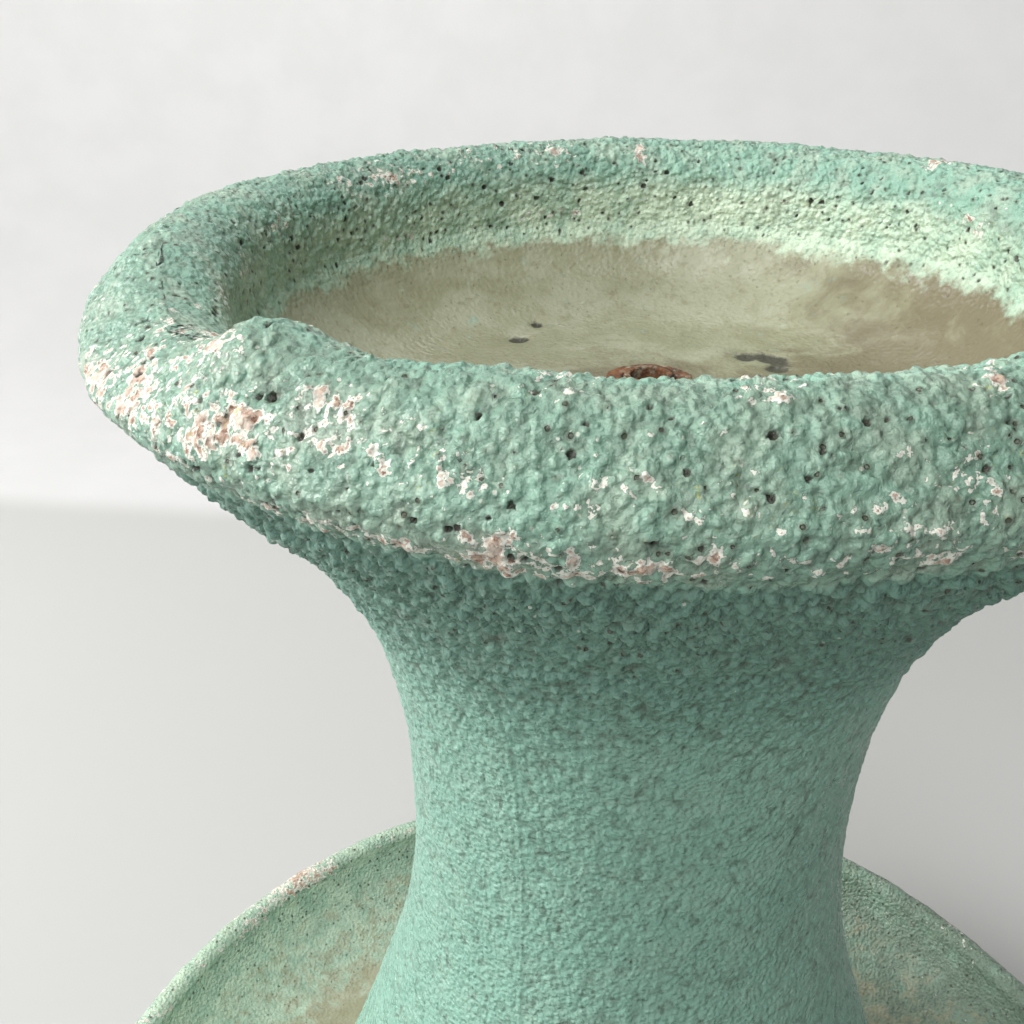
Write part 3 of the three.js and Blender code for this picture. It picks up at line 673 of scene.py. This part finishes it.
def column_outline():
    top, bottom, foot = column_high.z, column_low.z, column_high.x
    core = 28 * MM
    side = [
        (117 * MM, top), (94.7 * MM, RIM_LEVEL - 101 * MM), (84.3 * MM, RIM_LEVEL - 145 * MM),
        (81.3 * MM, RIM_LEVEL - 189 * MM), (83.6 * MM, RIM_LEVEL - 232 * MM),
        (92.6 * MM, RIM_LEVEL - 276 * MM), (121.4 * MM, RIM_LEVEL - 363 * MM),
        (foot - 14 * MM, RIM_LEVEL - 434 * MM), (foot, bottom + 14 * MM),
    ]
    return outline(
        (line((core, top), (114 * MM, top)), 12 * MM),
        (line((114 * MM, top), (117 * MM, top)), 1 * MM),
        (spline(side), 1.0 * MM),
        (line((foot, bottom + 14 * MM), (foot, bottom)), 1.5 * MM),
        (line((foot, bottom), (core, bottom)), 15 * MM),
        (line((core, bottom), (core, top)), 30 * MM),
    )


def make_column():
    turns = front_weighted_turns(round(800 / COARSE), 1.9)
    mesh = revolved("column_casting", column_outline(), turns)
    points = positions(mesh)
    turn, height, radius = round_axis(points)
    low, high = column_low.z, column_high.z
    free = ease(low, low + 20 * MM, height) * ease(high, high - 20 * MM, height)
    seam = 0.3 * angle_bump(turn, -113, 0.5) + 0.25 * angle_bump(turn, -115.5, 1.8)
    points[:, :2] *= (1 + seam * free * (radius > 40 * MM) * MM / radius)[:, None]
    move_to(mesh, points)
    # under: the neck close below the rim, rougher in grain and darker in paint as painted shade of the
    # overhang.
    under = ease(RIM_LEVEL - 150 * MM, RIM_LEVEL - 62 * MM, height)
    zone = {"swell": 0.5, "lumps": 0.5 + 1.1 * under ** 1.5, "beads": 0.55 + 0.5 * under,
            "seams": 0.1 + 0.4 * under ** 2}
    ends = ease(low, low + 2 * MM, height) * ease(high, high - 1.5 * MM, height)
    settle = ease(40 * MM, 70 * MM, radius) * ends
    weathered(mesh, zone, 61, 0.25, settle)
    store(mesh, chip_zone=0.25 * ease(low + 40 * MM, low, height), under=under ** 2, plain=1,
          deposit=ease(low + 26 * MM, low + 4 * MM, height))
    dress(new_object("column_casting", mesh), "column", "painted_cement")


BASIN_RIM_CHIPS = [
    (141, -2, 9, 6, 1.05), (150, -4, 10, 5, 0.9), (120, -3, 14, 4, 0.7), (170, -3, 12, 5, 0.7),
    (126, -2, 4, 4, 0.6), (160, -3, 6, 5, 0.5), (100, -3, 6, 5, 0.7),
    (60, -3, 5, 5, 0.7), (40, -2, 5, 5, 0.5), (20, -4, 6, 5, 0.6), (-10, -3, 5, 6, 0.9), (-40, -3, 7, 5, 0.7),
    (-75, -2, 5, 5, 0.9), (-110, -4, 7, 6, 0.8), (-150, -3, 6, 6, 0.8), (-178, -5, 7, 6, 0.7),
    (80, -20, 6, 8, 0.5),
    (-60, -30, 6, 10, 0.6), (-130, -35, 6, 10, 0.6),
]


def basin_outline():
    radius, crest, lip = basin_high.x, basin_high.z, 7 * MM
    floor, underside = BASIN_FLOOR, crest - 72 * MM
    ring_in, ring_out = 135 * MM, 165 * MM
    lip_centre, belly = (radius - lip, crest - lip), (200 * MM, 63 * MM)
    return outline(
        (line((PIPE_HOLE, underside), (ring_in, underside)), 6 * MM),
        (line((ring_in, underside), (ring_in + 4 * MM, basin_low.z)), 4 * MM),
        (line((ring_in + 4 * MM, basin_low.z), (ring_out, basin_low.z)), 4 * MM),
        (line((ring_out, basin_low.z), (ring_out + 2 * MM, underside - 8 * MM)), 1.8 * MM),
        (bend((ring_out + 2 * MM, underside - 8 * MM), (ring_out + 4 * MM, 60 * MM), belly), 1.8 * MM),
        (bend(belly, (262 * MM, 74 * MM), (radius, crest - lip)), 1.8 * MM),
        (arc(lip_centre, lip, 0, 180), 1.0 * MM),
        (bend((radius - 2 * lip, crest - lip), (246 * MM, floor + 6 * MM), (186 * MM, floor)), 1.6 * MM),
        (line((186 * MM, floor), (150 * MM, floor)), 1.6 * MM),
        (line((150 * MM, floor), (PIPE_HOLE, floor)), 12 * MM),
        (line((PIPE_HOLE, floor), (PIPE_HOLE, underside)), 6 * MM),
    )


def cut_with(piece, tool, operation):
    """Applies one boolean to the piece and removes the tool."""
    step = piece.modifiers.new("cut", "BOOLEAN")
    step.operation = operation
    step.solver = "MANIFOLD"
    step.object = tool
    apply_modifiers(piece)
    bpy.data.objects.remove(tool)


def apply_modifiers(piece):
    bpy.context.view_layer.update()
    graph = bpy.context.evaluated_depsgraph_get()
    made = bpy.data.meshes.new_from_object(piece.evaluated_get(graph))
    piece.modifiers.clear()
    old = piece.data
    piece.data = made
    bpy.data.meshes.remove(old)


def tool_cylinder(radius, low, high, centre=(0, 0), sides=96):
    turns = np.linspace(0, 2 * np.pi, sides, endpoint=False)
    ring = np.stack([centre[0] + radius * np.cos(turns), centre[1] + radius * np.sin(turns)], axis=1)
    verts = [(*p, low) for p in ring] + [(*p, high) for p in ring]
    sides_of = [(i, (i + 1) % sides, sides + (i + 1) % sides, sides + i) for i in range(sides)]
    caps = [tuple(reversed(range(sides))), tuple(range(sides, 2 * sides))]
    return tool_object(verts, sides_of + caps)


def tool_box(low, high):
    verts = [(x, y, z) for x in (low[0], high[0]) for y in (low[1], high[1]) for z in (low[2], high[2])]
    faces = [(0, 1, 3, 2), (4, 6, 7, 5), (0, 4, 5, 1), (2, 3, 7, 6), (0, 2, 6, 4), (1, 5, 7, 3)]
    return tool_object(verts, faces)


def tool_object(verts, faces):
    mesh = bpy.data.meshes.new("tool")
    mesh.from_pydata(verts, [], faces)
    return new_object("tool", mesh)


def make_basin():
    turns = front_weighted_turns(round(860 / COARSE), 1.15)
    mesh = revolved("lower_basin_casting", basin_outline(), turns)
    piece = new_object("lower_basin_casting", mesh)
    drain, floor = WASTE_AXIS[:2], BASIN_FLOOR
    cut_with(piece, tool_cylinder(24 * MM, floor - 27 * MM, floor - 6 * MM, drain), "UNION")
    cut_with(piece, tool_cylinder(26 * MM, floor, basin_high.z, drain), "DIFFERENCE")
    cut_with(piece, tool_cylinder(16 * MM, 0.04, floor + 5 * MM, drain), "DIFFERENCE")
    cut_with(piece, tool_box((-17 * MM, 125 * MM, -5 * MM), (17 * MM, 175 * MM, 42 * MM)), "DIFFERENCE")
    mesh = piece.data
    points = positions(mesh)
    turn, height, radius = round_axis(points)
    drain_gap = np.hypot(points[:, 0] - drain[0], points[:, 1] - drain[1])
    mid_wall = np.minimum(222 * MM + 1.6 * (height - floor), basin_high.x - 7 * MM)
    inside = (radius < mid_wall) & (height > floor - 1 * MM)
    wet = inside * (1 - ease(floor + 22 * MM, floor + 34 * MM, height))
    rough = 1 - 0.8 * inside
    zone = {"swell": 0.9 - 0.3 * inside, "lumps": 0.4 * rough, "beads": 0.3 * rough, "seams": 0}
    settle = ease(basin_low.z, basin_low.z + 4 * MM, height) * ease(27 * MM, 30 * MM, drain_gap)
    settle = settle * ease(PIPE_HOLE + 4 * MM, PIPE_HOLE + 24 * MM, radius)
    settle = settle * (1 - (radius < 163 * MM) * inside)
    weathered(mesh, zone, 91, 0.35 * rough, settle)
    store(mesh, chip_zone=patches(turn, (height - basin_high.z) / MM, BASIN_RIM_CHIPS), under=0,
          deposit=wet * (0.45 + 0.55 * ease(235 * MM, 175 * MM, radius)),
          # Dust, with painted light heaviest on the left side, towards the window.
          dusty=(height > floor - 4 * MM) * (0.1 + 0.6 * angle_bump(turn, 165, 75)),
          # Some grime all round, and painted shadow heavy on the right side, where the bowl and column block
          # the window light.
          grime=0.3 + 1.3 * angle_bump(turn, 5, 75))
    dress(piece, "lower_basin", "painted_cement")


def make_joint_ring(name, node, low_end, bulge, high_end, slot, coarse):
    """Mortar that covers the joint of two castings; its skin bends from low_end past bulge to high_end."""
    inner = low_end[0] - 9 * MM
    profile = outline(
        (line((inner, low_end[1]), low_end), 3 * MM),
        (bend(low_end, bulge, high_end), 0.8 * MM),
        (line(high_end, (inner, high_end[1] - 1 * MM)), 3 * MM),
        (line((inner, high_end[1] - 1 * MM), (inner, low_end[1])), 3 * MM),
    )
    mesh = revolved(name, profile, front_weighted_turns(round(800 / COARSE), 1.9))
    radius = round_axis(positions(mesh))[2]
    free = ease(inner + 3 * MM, inner + 9 * MM, radius)
    zone = {"swell": 0.3, "lumps": coarse * free, "beads": 0.65 * coarse * free, "seams": 0.3 * coarse * free}
    weathered(mesh, zone, 61, 0, free)
    # under=1 gives the bead the painted shade of the rim's underside.
    store(mesh, chip_zone=0, deposit=0, under=1)
    dress(new_object(name, mesh), node, slot)


make_bowl()
make_column()
make_basin()
bead_low, bead_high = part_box("bowl_bedding_ring")
make_joint_ring(
    "painted_joint_bead", "bowl_bedding_ring", (109.5 * MM, bead_low.z - 9.8 * MM),
    (121.8 * MM, (bead_low.z + bead_high.z) / 2), (124 * MM, bead_high.z + 10.3 * MM),
    "painted_cement", 1.5)
foot_low, foot_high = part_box("column_bedding_ring")
make_joint_ring(
    "foot_mortar_fillet", "column_bedding_ring", (173 * MM, foot_low.z - 0.9 * MM),
    (165.2 * MM, foot_low.z + 0.2 * MM), (163.4 * MM, foot_high.z + 4 * MM),
    "mortar", 0.6)

# ---------------------------------------------------------------- fittings

SUPPLY_LEVEL = 20 * MM
WASTE_FIT = 15.3  # mm, the radius of the holes that the waste body passes through
TO_REAR = Matrix.Rotation(-math.pi / 2, 4, "X")
VALVE_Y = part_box("valve_body")[0].y + 24 * MM


def rounded(corners, size):
    """The closed outline, in metres from millimetres, with each corner taken off by a small curve."""
    corners = np.array(corners, dtype=float) * MM
    out = []
    for k, corner in enumerate(corners):
        ends = []
        for other in (corners[k - 1], corners[(k + 1) % len(corners)]):
            away = other - corner
            reach = np.linalg.norm(away)
            ends.append(corner + away / reach * min(size * MM, 0.45 * reach))
        out.append(bend(ends[0], corner, ends[1], 4))
    return np.vstack(out)


def refined(loop, step, fine=None):
    """The closed outline with its long stretches divided; fine is (low, high, step) for a closer stretch."""
    out = []
    for start, end in zip(loop, np.roll(loop, -1, axis=0)):
        length = np.linalg.norm(end - start)
        near = fine is not None and max(start[1], end[1]) > fine[0] and min(start[1], end[1]) < fine[1]
        count = max(1, math.ceil(length / (fine[2] if near else step)))
        out.append(start + (end - start) * np.arange(count)[:, None] / count)
    return np.vstack(out)


def flatten_hex(points, flats, low, high):
    """Cuts the points from low to high back to a hexagon that wide across its flats."""
    radius, turn = np.hypot(points[:, 0], points[:, 1]), azimuth(points)
    limit = flats / 2 / np.cos(np.radians((turn + 30) % 60 - 30))
    inside = (points[:, 2] > low) & (points[:, 2] < high) & (radius > limit)
    share = np.where(inside, limit / np.maximum(radius, 1e-6), 1)
    points[:, :2] *= share[:, None]


def cut_thread(points, low, high, pitch, depth, outer):
    """A right-hand thread on the outer skin from low to high, running out at its inner end."""
    radius, height = np.hypot(points[:, 0], points[:, 1]), points[:, 2]
    wave = np.abs(((height / pitch - azimuth(points) / 360) % 1) * 2 - 1)
    there = (radius > outer - 0.6 * MM) * ease(low, low + 2 * pitch, height) * (height < high)
    points[:, :2] *= (1 - there * wave * depth / np.maximum(radius, 1e-6))[:, None]


def turned(name, node, corners, slot, at=(0, 0, 0), rear=False, sides=72, edge=0.5, step=2.0, hexes=(),
           thread=None, rough=0.0, rough_size=6.0, shape=None, body="fountain"):
    """A turned fitting: corners are (radius, height) in millimetres round its outline, along its own axis."""
    fine = (thread[0] * MM, thread[1] * MM, 0.22 * MM) if thread else None
    profile = refined(rounded(corners, edge), step * MM, fine)
    mesh = revolved(name, profile, np.radians(np.arange(sides) * 360 / sides))
    points = positions(mesh).astype(float)
    for flats, low, high in hexes:
        flatten_hex(points, flats * MM, low * MM, high * MM)
    if thread:
        cut_thread(points, *(value * MM for value in thread))
    if shape:
        points = shape(points)
    move_to(mesh, points)
    if rough:
        lift = layered_noise(points, rough_size * MM, 7) * rough * MM
        move_to(mesh, points + positions(mesh, "normal") * lift[:, None])
    mesh.transform(Matrix.Translation(at) @ (TO_REAR if rear else Matrix.Identity(4)))
    return dress(new_object(name, mesh), node, slot, body)


def smooth_by_angle(piece, degrees=40):
    """Shades the piece smoothly but for its sharp edges."""
    piece.data.polygons.foreach_set("use_smooth", [True] * len(piece.data.polygons))
    piece.data.set_sharp_from_angle(angle=math.radians(degrees))


def tube(outer, bore, low, high):
    return [(bore, low), (outer, low), (outer, high), (bore, high)]


def nut(name, node, flats, bore, low, high, slot, **more):
    """A hexagon nut with its corners taken off at both faces."""
    corner = flats / math.sqrt(3)
    bevel = (corner - flats / 2) * 1.05
    profile = [
        (bore, low + 0.4), (bore + 0.5, low), (corner - bevel, low), (corner, low + bevel * 0.55),
        (corner, high - bevel * 0.55), (corner - bevel, high), (bore + 0.5, high), (bore, high - 0.4),
    ]
    return turned(name, node, profile, slot, hexes=[(flats, low - 1, high + 1)], edge=0.2, step=0.5, **more)


def bent_round(points, reach, bend_radius):
    """Bends a straight fitting, running from 0 at its top end, into a right angle towards the rear."""
    straight = reach - bend_radius
    quarter = bend_radius * math.pi / 2
    along = points[:, 2]
    turn = np.clip((along - straight) / quarter, 0, 1) * math.pi / 2
    past = np.maximum(along - straight - quarter, 0)
    before = np.minimum(along, straight)
    centre_y = bend_radius - bend_radius * np.cos(turn) + past
    centre_z = reach - before - bend_radius * np.sin(turn)
    side = points[:, 1]
    return np.stack([points[:, 0], centre_y - side * np.cos(turn), centre_z - side * np.sin(turn)], axis=1)


def elbow(name, node, radius, collar, bore, socket, depth, at):
    """A bored cast elbow with a rolled collar at each end."""
    reach, bend_radius, band = 23.0, 14.6, 8.0
    total = 2 * (reach - bend_radius) + bend_radius * math.pi / 2
    profile = [
        (socket, 0), (collar, 0), (collar, band), (radius, band + 0.4), (radius, total - band - 0.4),
        (collar, total - band), (collar, total), (socket, total), (socket, total - depth),
        (bore, total - depth), (bore, depth), (socket, depth),
    ]
    return turned(name, node, profile, "galvanised_steel", at=at, step=1.0, edge=0.7, rough=0.12, rough_size=5,
                  shape=lambda points: bent_round(points, reach * MM, bend_radius * MM))


def make_feed():
    pipe = reach("feed_pipe")
    floor = BOWL_FLOOR / MM
    pressed = {"edge": 0.5, "step": 1.5}
    turned("feed_pipe_threaded", "feed_pipe", tube(PIPE_OUTER, PIPE_BORE, *pipe), "rusty_iron", sides=96,
           edge=0.7, step=6, thread=(floor - 4, pipe[1], 1.34, 0.7, PIPE_OUTER), rough=0.22, rough_size=3)
    turned("bowl_flange_washer_pressed", "bowl_flange_washer", tube(20, PIPE_FIT, *reach("bowl_flange_washer")),
           "rusty_iron", rough=0.12, rough_size=3, **pressed)
    nut("bowl_locknut_hex", "bowl_locknut", 27, PIPE_FIT, *reach("bowl_locknut"), "rusty_iron", rough=0.28,
        rough_size=2.5)
    for node in ("bowl_seal_washer", "basin_seal_washer"):
        turned(node + "_moulded", node, tube(19, PIPE_FIT, *reach(node)), "rubber", edge=0.8, step=1.5)
    turned("basin_flange_washer_pressed", "basin_flange_washer",
           tube(20, PIPE_FIT, *reach("basin_flange_washer")), "galvanised_steel", **pressed)
    nut("basin_locknut_hex", "basin_locknut", 27, PIPE_FIT, *reach("basin_locknut"), "galvanised_steel")
    elbow("feed_elbow_cast", "feed_elbow", 12.5, 14, PIPE_BORE, PIPE_FIT, 8, (0, 0, SUPPLY_LEVEL))


def make_supply():
    on_axis = {"at": (0, 0, SUPPLY_LEVEL), "rear": True}
    for node in ("supply_pipe", "inlet_nipple"):
        turned(node + "_drawn", node, tube(PIPE_OUTER, PIPE_BORE, *reach(node, "y")), "galvanised_steel",
               edge=0.6, step=5, rough=0.05, **on_axis)
    nut("inlet_coupling_hex", "inlet_coupling", 24, PIPE_FIT, *reach("inlet_coupling", "y"), "brass", **on_axis)


def make_valve():
    centre = (0, VALVE_Y, SUPPLY_LEVEL)
    on_valve = {"at": centre, "rear": True}
    place = Matrix.Translation(centre)
    hex_corner = 25 / math.sqrt(3)
    body = turned(
        "valve_body_forged", "valve_body",
        [(5, -15), (8.65, -15), (8.65, -24), (hex_corner - 1.6, -24), (hex_corner, -23.2), (hex_corner, -15.6),
         (13, -15), (13, 14), (10.2, 14), (10.2, -10), (5, -10)],
        "brass", hexes=[(25, -25, -15.2)], edge=0.5, step=0.8, **on_valve)
    boss = tool_cylinder(8.6 * MM, 9.6 * MM, 17 * MM)
    boss.data.transform(place)
    cut_with(body, boss, "UNION")
    for radius, low, high in ((4.3, 3, 18), (6.3, 11.5, 18)):
        bore = tool_cylinder(radius * MM, low * MM, high * MM)
        bore.data.transform(place)
        cut_with(body, bore, "DIFFERENCE")
    turned(
        "valve_end_cap_forged", "valve_end_cap",
        [(5, 10), (9.9, 10), (9.9, 14.3), (hex_corner - 1.2, 14.3), (hex_corner, 15), (hex_corner, 23.2),
         (hex_corner - 1.6, 24), (8.65, 24), (8.65, 15), (5, 15)],
        "brass", hexes=[(25, 14.25, 25)], edge=0.4, step=0.7, **on_valve)
    nut("gland_nut_hex", "gland_nut", 16, 4.3, 17.3, 22, "brass", at=centre)
    nut("lever_nut_hex", "lever_nut", 9, 3.1, 25.1, 29.1, "galvanised_steel", at=centre, body="valve_handle")
    for piece, name, finish in (
            (lever_blade(), "valve_lever", "galvanised_steel"), (lever_sleeve(), "lever_grip", "vinyl")):
        piece.data.transform(place)
        smooth_by_angle(dress(piece, name, finish, "valve_handle"), 50)


def slab(name, outline_points, low, high, bevel):
    """A flat plate with rolled edges; the outline is in millimetres, run anticlockwise."""
    count = len(outline_points)
    verts = [(x * MM, y * MM, z * MM) for z in (low, high) for x, y in outline_points]
    sides = [(i, (i + 1) % count, count + (i + 1) % count, count + i) for i in range(count)]
    mesh = bpy.data.meshes.new(name)
    mesh.from_pydata(verts, [], [tuple(reversed(range(count))), tuple(range(count, 2 * count)), *sides])
    piece = new_object(name, mesh)
    step = piece.modifiers.new("edge", "BEVEL")
    step.width = bevel * MM
    step.segments = 4
    step.limit_method = "ANGLE"
    apply_modifiers(piece)
    return piece


def lever_blade():
    disc = [(8.8 * math.cos(t), 8.8 * math.sin(t)) for t in np.radians(np.arange(-141, 142, 6))]
    end = [(-55.5 + 2.5 * math.cos(t), y + 2.5 * math.sin(t)) for y, first in ((3, 90), (-3, 180))
           for t in np.radians(np.arange(first, first + 91, 15))]
    piece = slab("valve_lever_pressed", disc + end, 22.3, 24.8, 0.45)
    cut_with(piece, tool_cylinder(3.1 * MM, 20 * MM, 27 * MM), "DIFFERENCE")
    return piece


def lever_sleeve():
    half = 7.1
    far = -59.6
    turns = np.radians(np.arange(90, 271, 6))
    round_end = [(far + half + half * math.cos(t), half * math.sin(t)) for t in turns]
    piece = slab("lever_grip_dipped", [(far + 36, -half), (far + 36, half), *round_end], 20.7, 26.4, 1.5)
    pocket = tool_box((-58.3 * MM, -5.8 * MM, 22.0 * MM), (-18 * MM, 5.8 * MM, 25.1 * MM))
    cut_with(piece, pocket, "DIFFERENCE")
    return piece


def make_waste():
    at = tuple(WASTE_AXIS)
    turned(
        "waste_body_cast", "waste_body",
        [(8, 36), (15, 36), (15, 85), (22, 85), (22, 88), (13.5, 88), (11, 86), (11, 68), (10, 64), (8, 64)],
        "brass", at=at, edge=0.5, step=2, thread=(38, 60, 1.5, 0.5, 15))
    for name, node, outer, slot in (
            ("waste_flange_gasket_moulded", "waste_flange_gasket", 21, "rubber"),
            ("waste_under_gasket_moulded", "waste_under_gasket", 21, "rubber"),
            ("waste_slip_washer_pressed", "waste_slip_washer", 21.5, "galvanised_steel")):
        turned(name, node, tube(outer, WASTE_FIT, *reach(node)), slot, at=at, edge=0.4, step=1.5)
    nut("waste_locknut_hex", "waste_locknut", 40, WASTE_FIT, *reach("waste_locknut"), "brass", at=at)
    below = (at[0], at[1], SUPPLY_LEVEL)
    elbow("waste_elbow_cast", "waste_elbow", 13.5, 18, 8, WASTE_FIT, 7.5, below)
    low, high = (end - at[1] / MM for end in reach("waste_outlet_pipe", "y"))
    turned("waste_outlet_pipe_drawn", "waste_outlet_pipe", tube(10, 8, low, high), "galvanised_steel",
           at=below, rear=True, edge=0.6, step=4, rough=0.05)
    turned(
        "standpipe_turned", "standpipe",
        [(7, 66), (9, 66), (9, 72.5), (8, 72.5), (8, 76.5), (9, 76.5), (9, 88.4), (13.4, 88.4), (13.4, 90.4),
         (9, 90.4), (9, 112), (7, 112)],
        "brass", at=at, edge=0.3, step=3, body="overflow")
    turned("standpipe_seal_ring", "standpipe_seal", tube(10.7, 8.3, 72.8, 76.2), "rubber", at=at, edge=1.2,
           step=1, body="overflow")
    cap = turned(
        "strainer_cap_turned", "strainer_cap",
        [(9.3, 108), (12.5, 108), (12.5, 117), (8.5, 121), (0.6, 121), (0.6, 119), (8.2, 119), (9.3, 117)],
        "brass", at=at, sides=96, edge=0.8, step=1.2, body="overflow")
    for k in range(6):
        slot = tool_box((8 * MM, -1.5 * MM, 112.6 * MM), (14 * MM, 1.5 * MM, 116.6 * MM))
        turn = Matrix.Rotation(math.radians(60 * k), 4, "Z")
        slot.data.transform(Matrix.Translation(WASTE_AXIS) @ turn)
        cut_with(cap, slot, "DIFFERENCE")
    smooth_by_angle(cap)


make_feed()
make_supply()
make_valve()
make_waste()

SLOT_OF_NODE = {
    "valve_seat_inner": "ptfe", "valve_seat_outer": "ptfe", "stem_packing": "ptfe", "valve_stem": "brass",
    "valve_ball": "chromed_ball",
}
for node, finish in SLOT_OF_NODE.items():
    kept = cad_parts[node]
    kept.data.materials.clear()
    kept.data.materials.append(FINISHES[finish])

# ---------------------------------------------------------------- room, light and camera


def make_room():
    """A pale floor that sweeps up into a round wall, with painted light on the left of the wall and painted
    shade towards the front right.
    """
    flat, sweep, wall, count = 1.45, 1.0, 2.7, 96
    curve = arc((flat, sweep), sweep, -90, 0, 24)
    profile = [(0.02, 0.0), (0.4, 0.0), (0.9, 0.0), *map(tuple, curve), (flat + sweep, wall)]
    turns = np.linspace(0, 2 * np.pi, count, endpoint=False)
    verts = [(r * math.cos(t), r * math.sin(t), z) for r, z in profile for t in turns]
    faces = [tuple(range(count))]
    for row in range(len(profile) - 1):
        for k in range(count):
            start, after = row * count + k, row * count + (k + 1) % count
            faces.append((start, start + count, after + count, after))
    mesh = bpy.data.meshes.new("floor")
    mesh.from_pydata(verts, [], faces)
    mesh.polygons.foreach_set("use_smooth", [True] * len(mesh.polygons))
    floor = new_object("floor", mesh)
    f = Finish("floor_pale")
    axes = f.node("ShaderNodeSeparateXYZ", {"Vector": f.place}).outputs
    tone = f.mix(f.span(axes["Y"], 0.86, 0.93), (0.43, 0.432, 0.425), (0.56, 0.56, 0.56))
    # Painted light: the wall is lighter on the left, where the window light falls.
    tone = f.mix(f.times(f.span(axes["X"], 0.9, -1.2), f.span(axes["Z"], 0.0, 0.8)), tone, (0.69, 0.69, 0.69))
    tone = f.mix(f.span(f.noise(130, 4), 0.35, 0.65, 0.0, 0.12), tone, (0.42, 0.425, 0.41))
    shade = f.times(f.span(axes["Z"], 0.1, 0.9), f.span(axes["Y"], 0.9, -1.2, 0.0, 0.85))
    tone = f.mix(shade, tone, (0.16, 0.165, 0.16))
    floor.data.materials.append(f.done(tone, 0.85, f.bump(f.noise(4, 3), 0.05)))


def area_light(name, place, target, size, power, colour):
    data = bpy.data.lights.new(name, "AREA")
    data.shape = "DISK"
    data.size = size
    data.energy = power
    data.color = colour
    lamp = new_object(name, data)
    lamp.location = place
    lamp.rotation_euler = (Vector(target) - Vector(place)).to_track_quat("-Z", "Y").to_euler()


make_room()
middle = (cad_low + cad_high) / 2
area_light("window_light", (-2.0, -0.1, 1.2), middle, 1.1, 50, (1.0, 0.985, 0.97))
area_light("ceiling_light", (-0.5, -0.7, 2.55), middle, 1.1, 28, (1.0, 0.995, 0.98))
area_light("front_light", (-0.75, -1.95, 1.75), middle, 1.0, 22, (0.98, 0.99, 1.0))
area_light("wall_light", (-0.3, 1.5, 2.6), (0, 2.4, 0.5), 1.2, 26, (1.0, 0.99, 0.97))

scene = bpy.context.scene
world = bpy.data.worlds.new("pale_room")
world.use_nodes = True
world.node_tree.nodes["Background"].inputs["Color"].default_value = (0.80, 0.81, 0.80, 1)
world.node_tree.nodes["Background"].inputs["Strength"].default_value = 0.3
scene.world = world
scene.view_settings.view_transform = "Standard"

lens = bpy.data.cameras.new("camera")
lens.lens = 38.63
lens.sensor_width = 36
eye = new_object("camera", lens)
stands_at = Vector((0.0, -330.904 * MM, RIM_LEVEL + 90.287 * MM))
right, up = Vector((0.99170439, 0.12834101, -0.00714023)), Vector((-0.05250745, 0.45518147, 0.88884914))
turned_to = Matrix((right, up, right.cross(up))).transposed()
eye.matrix_world = Matrix.Translation(stands_at) @ turned_to.to_4x4()
scene.camera = eye
